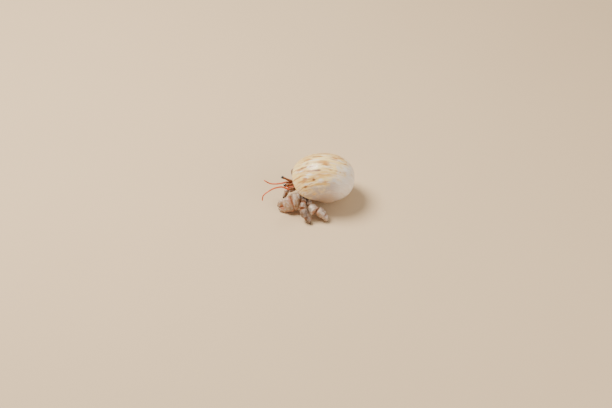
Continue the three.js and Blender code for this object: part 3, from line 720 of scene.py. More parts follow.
def fullness(t, clawed):
    """How full a segment is along its length: a narrow neck, a full body, and a rim at the end."""
    neck = 0.88 + 0.12 * smoothstep(t / 0.3)
    start = math.sqrt(max(1 - (1 - min(t / 0.1, 1)) ** 2, 0.0004))
    end = math.sqrt(max(1 - (1 - min((1 - t) / 0.12, 1)) ** 2.2, 0.0004))
    if clawed:
        return neck * start * end * (1 - 0.45 * smoothstep((t - 0.62) / 0.38))
    return neck * start * end * (1 + 0.05 * math.exp(-((t - 0.85) / 0.06) ** 2))


def frame_of(piece):
    axis = piece["end"] - piece["start"]
    length = np.linalg.norm(axis)
    axis = axis / length
    high = unit(piece["up"] - axis * piece["up"].dot(axis))
    return axis, high, np.cross(axis, high), length


def link_form(piece, clawed=False):
    """One limb segment: a low keel on top, a neck where it leaves the one before, rounded ends."""
    axis, high, across, length = frame_of(piece)
    turn = np.arange(LINK_SIDES) / LINK_SIDES * TAU
    keel = 0.97 + 0.06 * np.exp(-(np.minimum(turn, TAU - turn) / 0.3) ** 2)
    rise = squared(np.cos(turn), LINK_SQUARENESS) * keel
    reach = squared(np.sin(turn), LINK_SQUARENESS)
    rings = []
    for step in range(LINK_RINGS + 1):
        t = 0.5 - 0.5 * math.cos(math.pi * step / LINK_RINGS)
        full = fullness(t, clawed)
        centre = piece["start"] + axis * (t * length)
        centre = centre + high * (piece["bow"] * 4 * t * (1 - t))
        depth = along(piece["depth"], t) * full
        width = along(piece["width"], t) * full
        rings.append(centre + np.outer(depth * rise, high) + np.outer(width * reach, across))
    return loft(rings)


def ball(centre, radius, stretch=(1, 1, 1), rings=10, sides=14):
    """A small rounded lump."""
    forms = []
    for step in range(rings + 1):
        lean = math.pi * step / rings
        turn = np.arange(sides) / sides * TAU
        size = max(math.sin(lean), 0.02) * radius
        ring = np.stack((size * np.cos(turn) * stretch[0], size * np.sin(turn) * stretch[1],
                         np.full(sides, math.cos(lean) * radius * stretch[2])), axis=1)
        forms.append(np.array(centre) + ring)
    return loft(forms)


def curve_points(controls, count):
    """Evenly spaced points on a smooth curve through the controls."""
    controls = np.array(controls, float)
    padded = np.vstack((2 * controls[0] - controls[1], controls,
                        2 * controls[-1] - controls[-2]))
    dense = []
    for index in range(1, len(padded) - 2):
        a, b, c, d = padded[index - 1:index + 3]
        for t in np.linspace(0, 1, CURVE_STEPS, endpoint=False):
            dense.append(0.5 * (2 * b + (c - a) * t + (2 * a - 5 * b + 4 * c - d) * t * t
                                + (3 * b - a - 3 * c + d) * t ** 3))
    dense.append(controls[-1])
    dense = np.array(dense)
    length = np.concatenate(([0], np.cumsum(np.linalg.norm(np.diff(dense, axis=0), axis=1))))
    wanted = np.linspace(0, length[-1], count)
    return np.stack([np.interp(wanted, length, dense[:, axis]) for axis in range(3)], axis=1)


def feeler_form(controls, root, tip, rings_per_mm):
    """A slender feeler made of many short rings and rounded off at its tip."""
    rough = curve_points(controls, 60)
    length = np.linalg.norm(np.diff(rough, axis=0), axis=1).sum()
    count = int(length * rings_per_mm) * FEELER_RING_POINTS
    path = curve_points(controls, count)
    tangents = np.gradient(path, axis=0)
    tangents /= np.linalg.norm(tangents, axis=1, keepdims=True)
    high = np.cross(tangents[0], (0.3, 0.1, 0.9))
    turn = np.arange(FEELER_SIDES) / FEELER_SIDES * TAU
    rings = []
    for index in range(count):
        high = unit(high - tangents[index] * high.dot(tangents[index]))
        across = np.cross(tangents[index], high)
        share = index / (count - 1)
        phase = (index % FEELER_RING_POINTS) / FEELER_RING_POINTS
        radius = (root + (tip - root) * share) * (0.86 + 0.14 * math.sin(math.pi * phase) ** 0.6)
        past = max(share - FEELER_TIP, 0) / (1 - FEELER_TIP)
        radius *= math.sqrt(max(1 - past ** 2, 0.01))
        rings.append(path[index] + radius * (np.outer(np.cos(turn), high)
                                             + np.outer(np.sin(turn), across)))
    return loft(rings)


def body_form(stations):
    """A body of oval rings given by place, facing, half depth and half width."""
    places, facings, depths, widths = zip(*stations)
    at = curve_points(places, (len(stations) - 1) * BODY_STEPS + 1)
    marks = np.linspace(0, 1, len(stations))
    fine = np.linspace(0, 1, len(at))
    facing = np.stack([np.interp(fine, marks, row) for row in zip(*facings)], axis=1)
    depth = np.interp(fine, marks, depths)
    width = np.interp(fine, marks, widths)
    turn = (np.arange(BODY_SIDES) + 0.5) / BODY_SIDES * TAU
    rings = []
    for index in range(len(at)):
        forward = unit(facing[index])
        high = np.array((0, 0, 1)) - forward * forward[2]
        if np.linalg.norm(high) < 0.5:
            high = np.array((0, -1, 0)) + forward * forward[1]
        high = unit(high)
        across = np.cross(forward, high)
        edge = min(index, len(at) - 1 - index) / BODY_STEPS
        full = math.sqrt(max(1 - (1 - min(edge, 1)) ** 2 * 0.6, 0.05))
        rise = depth[index] * full * squared(np.cos(turn), BODY_SQUARENESS)
        reach = width[index] * full * squared(np.sin(turn), BODY_SQUARENESS)
        rings.append(at[index] + np.outer(rise, high) + np.outer(reach, across))
    return loft(rings)


def link_values(points, normals, links, free_ends=()):
    """Where each point lies on the links: along them, near a joint, under them, at a free tip."""
    ratios = []
    rows = []
    for index, (label, piece) in enumerate(links.items()):
        axis, high, across, length = frame_of(piece)
        t = np.clip((points - piece["start"]) @ axis / length, 0, 1)
        centre = piece["start"] + np.outer(t * length, axis)
        centre += np.outer(piece["bow"] * 4 * t * (1 - t), high)
        out = points - centre
        size = (along(piece["depth"], t) + along(piece["width"], t)) / 2
        ratios.append(np.linalg.norm(out, axis=1) / size)
        end = np.minimum(t, 2 if label in free_ends else 1 - t) * length
        around = np.arctan2(out @ across, out @ high) / TAU + 0.5
        rows.append(np.stack((t, np.exp(-(end / JOINT_WIDTH) ** 2), -(normals @ high),
                              t if label in free_ends else 0 * t, 0 * t + index, around)))
    ratios = np.array(ratios)
    nearest = ratios.argmin(axis=0)
    weights = np.exp(-LINK_BLEND * (ratios - ratios.min(axis=0)))
    weights = weights / weights.sum(axis=0)
    blended = np.einsum("lp,lvp->vp", weights, np.array(rows))
    exact = np.array(rows)[nearest, :, np.arange(len(points))].T
    return {"along": exact[0], "joint": blended[1], "under": blended[2], "tip": blended[3],
            "number": exact[4], "around": exact[5]}


def bristle_form(points, normals, values, links, count, length, seed):
    """Short stiff hairs in tufts over a limb: points, faces, and a place on its unwrap."""
    generator = np.random.default_rng(seed)
    keep = (values["joint"] < 0.3) & (values["tip"] < 0.72) & (points[:, 2] > 0.4)
    roots = generator.choice(np.flatnonzero(keep), count)
    axes = [frame_of(piece)[0] for piece in links.values()]
    corners = [(math.cos(turn), math.sin(turn))
               for turn in np.arange(BRISTLE_SIDES) / BRISTLE_SIDES * TAU]
    rows = []
    places = []
    faces = []
    for tuft in roots:
        number = int(values["number"][tuft])
        lean = unit(normals[tuft] + 0.9 * axes[number])
        place = np.array(((number + values["along"][tuft]) / len(links),
                          values["around"][tuft]))
        for _ in range(BRISTLES_PER_TUFT):
            way = unit(lean + generator.normal(0, 0.22, 3))
            side = unit(np.cross(way, normals[tuft] + 0.01))
            other = np.cross(way, side)
            long = length * generator.uniform(0.55, 1.0)
            base = points[tuft] - 0.04 * way + generator.normal(0, 0.03, 3)
            start = len(rows)
            tip = start + BRISTLE_SIDES
            faces.append((start, start + 2, start + 1))
            for index, (near, far) in enumerate(corners):
                rows.append(base + BRISTLE_RADIUS * (near * side + far * other))
                places.append(place + BRISTLE_PATCH * np.array((near, far)))
                faces.append((start + index, start + (index + 1) % BRISTLE_SIDES, tip))
            rows.append(base + long * way)
            places.append(place)
    return np.array(rows), faces, np.array(places)


# ---------------------------------------------------------------- settings

def colour_property(name, description, default):
    return bpy.props.FloatVectorProperty(name=name, description=description, default=default,
                                         subtype="COLOR", size=3, min=0, max=1)


class ShellSettings(bpy.types.PropertyGroup):
    """Colours of the snail shell."""

    cream: colour_property("Cream", "Colour of the shoulder", linear(255, 223, 148))
    gold: colour_property("Gold", "Colour of the broad bands", linear(216, 168, 84))
    tan: colour_property("Tan", "Colour of the dashes along the whorl", linear(184, 120, 56))
    brown: colour_property("Brown", "Colour of the darkest marks", linear(118, 74, 44))
    # Pale spots of the shell, and also the colour of the painted highlights among the marks and of
    # the painted light on the side to the right in the view.
    pale_and_painted_light: colour_property("Pale", "Colour of the worn spots", linear(246, 236, 222))
    # Mauve is painted shade: the colour of the side away from the key lamp and towards the base.
    mauve: colour_property("Mauve", "Cool shade towards the base", linear(190, 174, 166))
    # Painted shade round the base of the shell, warmed like light thrown back from the floor.
    rim: colour_property("Base", "Warm shade round the base", linear(172, 144, 116))
    nacre: colour_property("Inside", "Colour inside the mouth", linear(226, 206, 186))


class CrabSettings(bpy.types.PropertyGroup):
    """Colours and skin of the crab."""

    claw: colour_property("Claw", "Main colour of the claws", linear(177, 141, 106))
    # On the tops of the claws and legs this pale is painted light; in the blotches and grains it
    # is the limbs' own pale colour.
    pale_and_painted_light: colour_property("Pale", "Colour on top of the claws and legs", linear(204, 186, 170))
    # Along the joints this orange is the limbs' own colour; on the lower edges it is partly their
    # own orange and partly painted shade.
    orange: colour_property("Orange", "Colour along joints and lower edges",
                            linear(172, 100, 58))
    leg: colour_property("Leg", "Main colour of the third legs", linear(167, 140, 113))
    # The second legs are darker than the third legs as painted shadow: the shadow that the big
    # claw casts on them.
    shadowed_front_leg: colour_property("Front leg", "Main colour of the second legs",
                               linear(104, 75, 53))
    bristle: colour_property("Bristles", "Colour of the short hairs", linear(112, 72, 44))
    soft: colour_property("Soft body", "Colour of the soft skin", linear(188, 140, 116))
    shield: colour_property("Shield", "Colour of the head shield", linear(127, 80, 42))
    claw_tip: colour_property("Claw tips", "Colour of the horny tips", (0.035, 0.017, 0.010))
    antenna: colour_property("Antenna", "Colour of the feelers", linear(190, 82, 34))
    eye: colour_property("Eye", "Colour of the eyes", linear(26, 15, 10))
    granule: bpy.props.FloatProperty(
        name="Granule height", description="How far the grains on the claws stand up",
        default=0.085 * MM, min=0, max=0.3 * MM, unit="LENGTH", precision=5)


class StageSettings(bpy.types.PropertyGroup):
    """Camera, lights and floor."""

    floor: colour_property("Floor", "Colour of the plain floor", linear(217, 190, 153))
    lens: bpy.props.FloatProperty(name="Lens", description="Focal length of the camera",
                                  default=100, min=20, max=300, subtype="DISTANCE_CAMERA")
    azimuth: bpy.props.FloatProperty(name="Azimuth", description="Where the camera stands",
                                     default=75 * DEGREE, subtype="ANGLE")
    elevation: bpy.props.FloatProperty(name="Elevation", description="How high it looks from",
                                       default=45 * DEGREE, subtype="ANGLE")
    distance: bpy.props.FloatProperty(name="Distance", description="Camera to crab",
                                      default=680 * MM, min=0.1, unit="LENGTH")
    key_power: bpy.props.FloatProperty(name="Key light", description="Power of the main light",
                                       default=4.5, min=0, unit="POWER")


# ---------------------------------------------------------------- finishes

def shell_finish(settings):
    finish = Finish("shell_surface", 0.36, 0.45, coat=0.25, coat_roughness=0.18,
                    subsurface=0.08)
    turn = finish.value_of("turn")
    angle = finish.value_of("angle")
    drift = finish.range(finish.noise(0.25, 2.0), 0.0, 1.0, -0.35, 0.35)
    run = finish.times(turn, 10.0)
    rise = finish.math("ADD", finish.times(angle, 12.0), drift)

    def streaks(along, across, place, detail=2.0):
        """Noise drawn out along the whorl."""
        where = finish.vector(finish.times(run, along), finish.times(rise, across), place)
        return finish.noise(1.0, detail, 0.55, where)

    ragged = finish.range(streaks(0.45, 1.5, 2.0, 3.0), 0.25, 0.75, -0.42, 0.42)

    def mark(below, label, colour):
        """The marks that the shell's operator places, with ragged ends."""
        place = finish.value_of(label)
        shown = finish.range(finish.math("ADD", place, ragged), 0.1, 0.75)
        inked = finish.times(shown, finish.math("MINIMUM", finish.times(place, 1.6), 0.9))
        return finish.mix(inked, below, colour)

    clouds = finish.range(finish.noise(0.3, 3.0, 0.6), 0.25, 0.75, -0.22, 0.22)
    # Painted light and shade: cream towards the key lamp's side and mauve away from it. The same
    # value makes the bands strongest on the cream side.
    painted_light_and_bands = finish.math("ADD", finish.value_of("painted_light_and_bands"), clouds)
    # Painted light: the mauve side goes pale towards the right in the view.
    cool = finish.mix(finish.value_of("painted_light_right"), settings.mauve, settings.pale_and_painted_light)
    colour = finish.mix(finish.range(painted_light_and_bands, 0.25, 0.7), cool, settings.cream)
    # Painted shade under the shell: towards the base the colour goes to the warm, darker Base
    # colour.
    colour = finish.mix(finish.range(angle, -0.9, -1.5, 0, 0.85), colour, settings.rim)
    patterned = finish.range(painted_light_and_bands, 0.3, 0.7, 0.15, 1)
    bands = finish.range(streaks(0.09, 0.34, 9.0), 0.4, 0.66, 0, 0.75)
    colour = finish.mix(finish.times(bands, patterned), colour, settings.gold)
    whites = finish.range(streaks(0.2, 1.1, 15.0), 0.52, 0.68, 0, 0.5)
    above_base = finish.range(angle, -1.25, -0.8)
    colour = finish.mix(finish.times(whites, above_base), colour, settings.pale_and_painted_light)
    dashes = finish.range(streaks(0.16, 1.35, 4.0), 0.54, 0.64, 0, 0.85)
    colour = finish.mix(finish.times(dashes, patterned), colour, settings.tan)
    for label, shade in (("ochre", settings.gold), ("pale_and_painted_light", settings.pale_and_painted_light),
                         ("tan", settings.tan), ("brown", settings.brown)):
        colour = mark(colour, label, shade)
    seam = finish.range(finish.value_of("suture"), 0.2, 1.0, 0, 0.85)
    colour = finish.mix(seam, colour, settings.brown)
    finish.colour(finish.mix(finish.value_of("inside"), colour, settings.nacre))
    finish.roughness(finish.range(finish.noise(1.1, 3.0), 0.3, 0.75, 0.3, 0.5))
    from_poles = finish.times(finish.range(angle, -1.35, -0.9), finish.range(angle, 1.35, 0.9))
    finish.bump(finish.times(streaks(5.5, 0.6, 0.0, 3.0), from_poles), 0.03, 0.6)
    return finish.material


def hard_finish(name, settings, main, pale_share=1.0, orange_share=1.0):
    finish = Finish(name, 0.42, 0.5, coat=0.12, coat_roughness=0.25, subsurface=0.08)
    blotches = finish.noise(0.75, 3.0, 0.6)
    bars = finish.noise(1.0, 3.0, 0.6, finish.vector(
        finish.times(finish.value_of("along"), 2.6),
        finish.times(finish.value_of("around"), 5.0), finish.value_of("number")))
    under = finish.value_of("under")
    joint = finish.value_of("joint")
    colour = main
    for amount, shade in (
            (finish.range(blotches, 0.44, 0.6, 0, 0.75 * pale_share), settings.pale_and_painted_light),
            # Painted light: paler on the upper faces.
            (finish.range(under, -0.2, -0.95, 0, 0.5 * pale_share), settings.pale_and_painted_light),
            (finish.range(bars, 0.5, 0.64, 0, 0.7), shaded(main, 0.5)),
            # Partly the limbs' own orange and partly painted shade on the lower faces.
            (finish.range(under, 0.25, 0.85, 0, 0.75 * orange_share), settings.orange),
            (finish.range(joint, 0.3, 0.95, 0, 0.8 * orange_share), settings.orange),
            (finish.range(finish.value_of("grain"), 0.25, 0.85, 0, 0.6), settings.pale_and_painted_light),
            (finish.range(finish.cells(3.4), 0.26, 0.1, 0, 0.5), shaded(settings.orange, 0.4)),
            (finish.range(finish.value_of("tip"), 0.74, 0.9), settings.claw_tip)):
        colour = finish.mix(amount, colour, shade)
    finish.colour(colour)
    finish.roughness(finish.range(blotches, 0.3, 0.7, 0.38, 0.56))
    finish.bump(finish.noise(6.0, 3.0, 0.6), 0.05, 0.6)
    return finish.material


def bristle_finish(settings):
    finish = Finish("bristle_surface", 0.5, 0.4)
    finish.colour(finish.mix(finish.range(finish.noise(1.5), 0.35, 0.65), settings.bristle,
                             settings.orange))
    return finish.material


def soft_finish(settings):
    finish = Finish("soft_skin", 0.5, 0.4, coat=0.1, coat_roughness=0.3, subsurface=0.2)
    clouds = finish.range(finish.noise(0.5, 3.0, 0.6), 0.35, 0.7)
    colour = finish.mix(clouds, settings.soft, shaded(settings.soft, 0.6))
    freckles = finish.range(finish.noise(3.0, 2.0), 0.55, 0.75, 0, 0.5)
    finish.colour(finish.mix(freckles, colour, settings.shield))
    finish.bump(finish.noise(2.4, 4.0, 0.6), 0.08, 0.7)
    return finish.material


def shield_finish(settings):
    finish = Finish("shield_surface", 0.38, 0.5, coat=0.2, coat_roughness=0.25, subsurface=0.1)
    clouds = finish.range(finish.noise(0.8, 3.0, 0.6), 0.4, 0.65, 0, 0.75)
    colour = finish.mix(clouds, settings.shield, settings.pale_and_painted_light)
    spots = finish.range(finish.cells(2.6), 0.22, 0.08, 0, 0.7)
    finish.colour(finish.mix(spots, colour, shaded(settings.shield, 0.3)))
    finish.bump(finish.noise(5.0, 3.0), 0.05, 0.6)
    return finish.material


def feeler_finish(settings):
    finish = Finish("feeler_surface", 0.4, 0.5, subsurface=0.15)
    bands = finish.range(finish.noise(0.6, 2.0), 0.35, 0.65)
    finish.colour(finish.mix(bands, settings.antenna, shaded(settings.antenna, 1.5)))
    finish.bump(finish.noise(8.0, 2.0), 0.02, 0.5)
    return finish.material


def stalk_finish(settings):
    finish = Finish("eyestalk_surface", 0.4, 0.5, coat=0.2, subsurface=0.15)
    streaks = finish.range(finish.noise(1.6, 3.0, 0.6), 0.4, 0.62)
    colour = finish.mix(streaks, settings.shield, settings.orange)
    # Painted light: paler on top of the stalk.
    top = finish.range(finish.value_of("under"), -0.4, -0.95, 0, 0.12)
    colour = finish.mix(top, colour, settings.pale_and_painted_light)
    joint = finish.range(finish.value_of("joint"), 0.3, 0.9, 0, 0.8)
    finish.colour(finish.mix(joint, colour, shaded(settings.shield, 0.5)))
    finish.bump(finish.noise(6.0, 2.0), 0.03, 0.5)
    return finish.material


def eye_finish(settings):
    finish = Finish("eye_surface", 0.08, 0.7, coat=1.0, coat_roughness=0.03)
    glow = finish.range(finish.noise(1.2, 2.0), 0.4, 0.7)
    finish.colour(finish.mix(glow, settings.eye, shaded(settings.eye, 2.2)))
    finish.bump(finish.cells(14.0), 0.006, 0.3)
    return finish.material


def floor_finish(settings):
    finish = Finish("floor_surface", 0.85, 0.2)
    finish.colour(finish.mix(finish.noise(0.02, 2.0), settings.floor,
                             shaded(settings.floor, 0.96)))
    return finish.material


# ---------------------------------------------------------------- operators

class HERMIT_OT_shell(bpy.types.Operator):
    """Builds the snail shell with its lip, growth lines and coloured dashes"""

    bl_idname = "hermit.shell"
    bl_label = "Shell"

    # The side toward the key lamp, painted cream as painted light, with mauve as painted shade
    # away from it; the bands are strongest on this side
    lit_side = np.array((-0.62, -0.42, 0.66))
    # The side to the right in the view, painted paler as painted light where the key lamp leaves
    # it darker
    painted_light_right_side = np.array((0.26, 0.9, 0.12))

    def execute(self, context):
        points, faces, values = shell_form()
        points[:, 2] = np.maximum(points[:, 2], 0)
        outside = 1 - values["inside"]
        for label, marks in MARKS.items():
            values[label] = np.zeros(len(points))
            for turn, angle, half_length, half_width, strength in marks:
                across = (values["angle"] / DEGREE - angle) / half_width
                run = (values["turn"] / DEGREE - turn) / half_length
                shade = strength * np.exp(-across ** 2 - 0.8 * run ** 2)
                values[label] = np.maximum(values[label], shade * outside)
        # Painted light and shade: rises towards the key lamp's side.
        values["painted_light_and_bands"] = 0.5 + (points - points.mean(axis=0)) @ self.lit_side / 16
        # Painted light: rises towards the right in the view.
        values["painted_light_right"] = 0.85 * smoothstep((points @ self.painted_light_right_side - 3) / 8)
        make_piece("shell_whorl", points, faces, shell_finish(context.scene.hermit_shell),
                   "shell", ["shell"], values)
        return {"FINISHED"}


class HERMIT_OT_soft_body(bpy.types.Operator):
    """Builds the soft abdomen, the hind carapace and the sides of the body as one skin"""

    bl_idname = "hermit.soft_body"
    bl_label = "Soft body"

    # The abdomen keeps this far from the walls of the hollow that it fills
    clearance = 0.3
    coil_steps = 24

    def execute(self, context):
        ahead = (0, 1, 0)
        thorax = body_form([
            ((MIDLINE, -12.3, 7.6), ahead, 0.7, 1.0), ((MIDLINE, -11.7, 7.5), ahead, 1.2, 1.7),
            ((MIDLINE, -10.2, 7.2), ahead, 1.6, 2.1), ((MIDLINE, -8.6, 7.1), ahead, 1.7, 2.2),
            ((MIDLINE, -7.6, 7.3), ahead, 1.4, 1.9)])
        hind = body_form([
            ((1.6, -8.3, 8.4), (0.2, 0.4, 1), 1.0, 1.8),
            ((2.2, -7.9, 9.9), (0.4, 0.1, 1), 1.3, 2.3),
            ((3.1, -8.0, 11.6), (0.5, 0, 1), 1.7, 2.8),
            ((4.1, -7.9, 13.4), (0.5, 0.2, 1), 1.9, 3.0),
            ((4.9, -7.5, 15.0), (0.4, 0.3, 1), 1.6, 2.4)])
        rings = []
        for step in range(self.coil_steps + 1):
            at = LIP_ADVANCE - 16 * DEGREE
            at -= (CAVITY_TURN + LIP_ADVANCE - 20 * DEGREE) * step / self.coil_steps
            closing = 0.7 * max(0, 1 - min(step, self.coil_steps - step) / 1.5) ** 2
            rings.append(crescent(at, self.clearance + closing, 40))
        points, faces = welded([thorax, hind, loft(rings)], 0.13, 8)
        wrinkles = 0.06 * noise(points * (1, 1, 2.2), 0.9, 21) + 0.03 * noise(points, 0.4, 22)
        make_piece("soft_body_skin", raised(points, faces, wrinkles), faces,
                   soft_finish(context.scene.hermit_crab), "soft_body",
                   ["abdomen", "carapace_hind", "thorax"])
        return {"FINISHED"}


class HERMIT_OT_shield(bpy.types.Operator):
    """Builds the hard shield on the head"""

    bl_idname = "hermit.shield"
    bl_label = "Head shield"

    def execute(self, context):
        outline = ((0, 0.22, 0.25), (0.06, 0.6, 0.5), (0.18, 0.88, 0.78), (0.38, 1, 0.96),
                   (0.62, 1, 1), (0.85, 0.94, 0.94), (1, 0.78, 0.7))
        form = body_form([
            ((MIDLINE, -12.8 + 5.1 * t, 9.925), (0, 1, 0), 0.975 * height, 2.35 * width)
            for t, width, height in outline])
        points, faces = welded([form], 0.09, 3)
        x = points[:, 0] - MIDLINE
        groove = np.abs(points[:, 1] + 9.4 - 0.5 * np.abs(x)) / 0.22
        relief = -0.16 * np.exp(-groove ** 2)
        relief = relief - 0.05 * grains(points, 0.42, 31) + 0.04 * noise(points, 0.8, 32)
        make_piece("head_shield", raised(points, faces, relief), faces,
                   shield_finish(context.scene.hermit_crab), "carapace", ["shield"])
        return {"FINISHED"}


class HERMIT_OT_limbs(bpy.types.Operator):
    """Builds the claws, the walking legs and the small brace legs"""

    bl_idname = "hermit.limbs"
    bl_label = "Claws and legs"

    weld_voxel = 0.06
    weld_smoothing = 3
    # The legs' grains against the claws'
    leg_grain = 0.6
    joint_depth = 0.06
    # Along each edge where a claw's two fingers meet
    tooth_count = 6
    large_tooth = 0.3
    small_tooth = 0.2
    tufts = 260
    claw_bristle = 0.34
    leg_bristle = 0.42

    def teeth(self, piece, size, side):
        """Blunt teeth along the edge of a finger that meets the other one."""
        lumps = []
        axis, high, _, length = frame_of(piece)
        for index in range(self.tooth_count):
            t = 0.4 + 0.48 * index / (self.tooth_count - 1)
            depth = along(piece["depth"], t)
            centre = piece["start"] + axis * t * length
            centre = centre + high * (piece["bow"] * 4 * t * (1 - t) + side * depth * 0.88)
            lumps.append(ball(centre, size * (1.25 - 0.6 * index / self.tooth_count)))
        return lumps

    def skin(self, name, links, claw):
        """A limb's closed skin. The free finger of a claw stays apart from the rest."""
        fixed = [link_form(piece, label == "dactyl") for label, piece in links.items()
                 if label != "dactyl" or not claw]
        if not claw:
            return welded(fixed, self.weld_voxel, self.weld_smoothing)
        tooth = self.large_tooth if name.endswith("left") else self.small_tooth
        groups = (fixed + self.teeth(links["finger"], tooth, 1),
                  [link_form(links["dactyl"])] + self.teeth(links["dactyl"], tooth, -1))
        return joined([welded(group, self.weld_voxel, self.weld_smoothing)
                       for group in groups])

    def limb(self, name, links, finish, bristle, slot, granule, claw):
        points, faces = self.skin(name, links, claw)
        normals = face_normals(points, faces)
        values = link_values(points, normals, links,
                             ("dactyl", "finger") if claw else ("dactyl",))
        calm = (1 - values["joint"]) * (1 - smoothstep((values["tip"] - 0.6) / 0.3))
        upper = 0.35 + 0.65 * smoothstep((0.3 - values["under"]) / 0.8)
        coarse = smoothstep((noise(points, 1.6, 44) + 0.45) / 0.9)
        grain = grains(points, 0.36, 41) * coarse + 0.5 * grains(points, 0.22, 45)
        values["grain"] = grain * calm
        relief = granule / MM * grain * upper * calm
        relief = relief + 0.04 * noise(points, 1.1, 42) + 0.015 * noise(points, 0.35, 43)
        relief = relief - self.joint_depth * values["joint"]
        points = points + normals * relief[:, None]
        points[:, 2] = np.maximum(points[:, 2], 0)
        make_piece(f"{name}_skin", points, faces, finish, slot,
                   [f"{name}_{label}" for label in links if label != "finger"], values)
        rows, corners, places = bristle_form(
            points, normals, values, links, self.tufts,
            self.claw_bristle if claw else self.leg_bristle, len(name))
        rows[:, 2] = np.maximum(rows[:, 2], 0)
        coat = make_piece(f"{name}_bristles", rows, corners, bristle, slot, [])
        layer = coat.data.uv_layers.new(name="OFBake")
        layer.data.foreach_set("uv", places[np.array(corners).ravel()].ravel())

    def execute(self, context):
        settings = context.scene.hermit_crab
        claw = hard_finish("claw_surface", settings, settings.claw)
        leg = hard_finish("leg_surface", settings, settings.leg, 1.0, 0.55)
        # The second legs' finish: darker as painted shadow of the big claw, with less painted
        # light on top.
        front = hard_finish("front_leg_surface", settings, settings.shadowed_front_leg, 0.4, 0.6)
        bristle = bristle_finish(settings)
        for name, links in LIMBS.items():
            is_claw = "palm" in links
            finish = claw if is_claw else front if name.startswith("leg2") else leg
            self.limb(name, links, finish, bristle, "claw" if is_claw else "leg",
                      settings.granule * (1 if is_claw else self.leg_grain), is_claw)
        for name, piece in {**BRACES, **MAXILLIPEDS}.items():
            points, faces = link_form(piece)
            normals = face_normals(points, faces)
            points = raised(points, faces, 0.03 * noise(points, 0.5, 51))
            values = link_values(points, normals, {"brace": piece})
            values["grain"] = grains(points, 0.3, 52)
            make_piece(f"{name}_skin", points, faces, leg, "leg", [name], values)
        return {"FINISHED"}


class HERMIT_OT_eyes(bpy.types.Operator):
    """Builds the eyestalks and the glossy eyes"""

    bl_idname = "hermit.eyes"
    bl_label = "Eyes"

    def execute(self, context):
        settings = context.scene.hermit_crab
        eye = eye_finish(settings)
        stalk = stalk_finish(settings)
        for side, centre in EYES.items():
            piece = link(STALK_ROOTS[side], centre, (0.62, 0.5, 0.5), (0.5, 0.42, 0.47))
            points, faces = link_form(piece)
            values = link_values(points, face_normals(points, faces), {"stalk": piece})
            waist = -0.07 * np.exp(-((values["along"] - 0.6) / 0.2) ** 2)
            collar = 0.05 * np.exp(-((values["along"] - 0.84) / 0.025) ** 2)
            relief = waist + collar + 0.025 * noise(points, 0.4, 61)
            make_piece(f"eyestalk_{side}_skin", raised(points, faces, relief), faces, stalk,
                       "eyestalk", [f"eyestalk_{side}"], values)
            make_piece(f"eye_{side}_globe", *ball(centre, EYE_RADIUS, (1, 1, 0.97), 36, 48),
                       eye, "eye", [f"eye_{side}"])
        return {"FINISHED"}


class HERMIT_OT_feelers(bpy.types.Operator):
    """Builds the long antennae with their stalks, and the short antennules"""

    bl_idname = "hermit.feelers"
    bl_label = "Antennae"

    seams = (0.34, 0.58)

    def execute(self, context):
        finish = feeler_finish(context.scene.hermit_crab)
        stalk = stalk_finish(context.scene.hermit_crab)
        for side in EYES:
            make_piece(f"antenna_{side}_whip", *feeler_form(FLAGELLA[side], 0.36, 0.24, 3.2),
                       finish, "antenna", [f"antenna_flagellum_{side}"])
            make_piece(f"antennule_{side}_whip", *feeler_form(ANTENNULES[side], 0.33, 0.24, 3.6),
                       finish, "antenna", [f"antennule_{side}"])
            name = f"antenna_peduncle_{side}"
            piece = PEDUNCLES[name]
            points, faces = link_form(piece)
            values = link_values(points, face_normals(points, faces), {"stalk": piece})
            relief = 0.03 * noise(points, 0.5, 71)
            for seam in self.seams:
                groove = np.exp(-((values["along"] - seam) / 0.025) ** 2)
                relief = relief - 0.11 * groove
                values["joint"] = np.maximum(values["joint"], groove)
            make_piece(f"{name}_skin", raised(points, faces, relief), faces, stalk, "antenna",
                       [name], values)
        return {"FINISHED"}


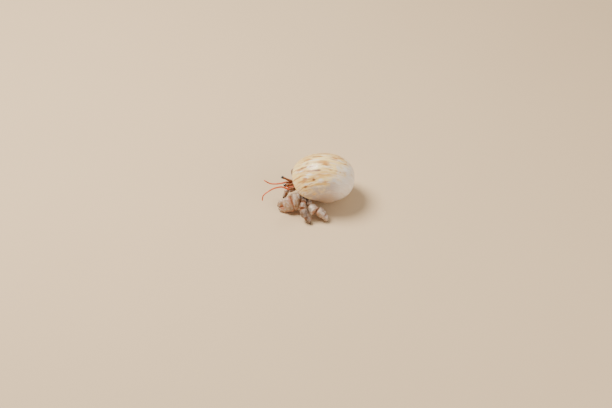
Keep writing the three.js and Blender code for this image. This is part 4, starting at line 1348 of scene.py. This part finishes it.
class HERMIT_OT_stage(bpy.types.Operator):
    """Sets the camera, the soft lights and the plain floor"""

    bl_idname = "hermit.stage"
    bl_label = "Stage"

    floor_size = 4.0
    # A point of the model, and where it stands right of and above the middle of the view
    aim_from = (2.4, 0.0, 10.0)
    right_of_middle = 7.1
    above_middle = 10.0
    sensor_width = 36
    sky = (1.0, 0.945, 0.87, 1.0)
    sky_strength = 0.4
    # Lamps in metres, and the fill's power against the key's
    key_size = 0.22
    key_colour = (1.0, 0.96, 0.89)
    fill_size = 0.3
    fill_share = 0.16
    fill_colour = (1.0, 0.96, 0.93)

    def light(self, name, place, aim, size, power, colour):
        lamp = bpy.data.lights.new(name, "AREA")
        lamp.shape = "DISK"
        lamp.size = size
        lamp.energy = power
        lamp.color = colour
        rig = bpy.data.objects.new(name, lamp)
        bpy.context.scene.collection.objects.link(rig)
        rig.location = place
        rig.rotation_euler = (Vector(aim) - Vector(place)).to_track_quat("-Z", "Y").to_euler()

    def execute(self, context):
        settings = context.scene.hermit_stage
        around, lift = settings.azimuth, settings.elevation
        right = Vector((math.cos(around), math.sin(around), 0))
        back = Vector((math.sin(around) * math.cos(lift), -math.cos(around) * math.cos(lift),
                       math.sin(lift)))
        up = back.cross(right)
        point = Vector(((np.array(self.aim_from) + SHIFT) * MM).tolist())
        aim = point - right * self.right_of_middle * MM - up * self.above_middle * MM
        lens = bpy.data.cameras.new("camera")
        lens.lens = settings.lens
        lens.sensor_width = self.sensor_width
        lens.clip_start = 0.01
        lens.dof.use_dof = False
        camera = bpy.data.objects.new("camera", lens)
        context.scene.collection.objects.link(camera)
        turn = Matrix((right, up, back)).transposed().to_4x4()
        camera.matrix_world = Matrix.Translation(aim + back * settings.distance) @ turn
        context.scene.camera = camera

        mesh = bpy.data.meshes.new("floor")
        half = self.floor_size / 2
        mesh.from_pydata([(-half, -half, 0), (half, -half, 0), (half, half, 0),
                          (-half, half, 0)], [], [(0, 1, 2, 3)])
        mesh.materials.append(floor_finish(settings))
        floor = bpy.data.objects.new("floor", mesh)
        context.scene.collection.objects.link(floor)

        world = bpy.data.worlds.new("studio")
        world.use_nodes = True
        sky = world.node_tree.nodes["Background"]
        sky.inputs["Color"].default_value = self.sky
        sky.inputs["Strength"].default_value = self.sky_strength
        context.scene.world = world
        key = point - right * 0.22 + Vector((0, 0, 0.34)) + up * 0.10
        self.light("key", key, point, self.key_size, settings.key_power, self.key_colour)
        fill = point + right * 0.28 + back * 0.25
        self.light("fill", fill, point, self.fill_size, settings.key_power * self.fill_share,
                   self.fill_colour)
        return {"FINISHED"}


STEPS = (HERMIT_OT_stage, HERMIT_OT_shell, HERMIT_OT_soft_body, HERMIT_OT_shield,
         HERMIT_OT_limbs, HERMIT_OT_eyes, HERMIT_OT_feelers)


class HERMIT_PT_panel(bpy.types.Panel):
    """Lists the steps that build the hermit crab"""

    bl_idname = "HERMIT_PT_panel"
    bl_label = "Hermit Crab"
    bl_space_type = "VIEW_3D"
    bl_region_type = "UI"
    bl_category = "Hermit Crab"

    def draw(self, context):
        for step in STEPS:
            self.layout.operator(step.bl_idname)
        for group in (context.scene.hermit_shell, context.scene.hermit_crab,
                      context.scene.hermit_stage):
            box = self.layout.box()
            for name in group.__annotations__:
                box.prop(group, name)


SETTINGS = {"hermit_shell": ShellSettings, "hermit_crab": CrabSettings,
            "hermit_stage": StageSettings}


def register():
    for group in SETTINGS.values():
        bpy.utils.register_class(group)
    for name, group in SETTINGS.items():
        setattr(bpy.types.Scene, name, bpy.props.PointerProperty(type=group))
    for step in STEPS:
        bpy.utils.register_class(step)
    bpy.utils.register_class(HERMIT_PT_panel)


def unregister():
    bpy.utils.unregister_class(HERMIT_PT_panel)
    for step in reversed(STEPS):
        bpy.utils.unregister_class(step)
    for name in SETTINGS:
        delattr(bpy.types.Scene, name)
    for group in reversed(list(SETTINGS.values())):
        bpy.utils.unregister_class(group)


def main():
    register()
    for step in STEPS:
        group, name = step.bl_idname.split(".")
        getattr(getattr(bpy.ops, group), name)()
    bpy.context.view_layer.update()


if __name__ == "__main__":
    main()
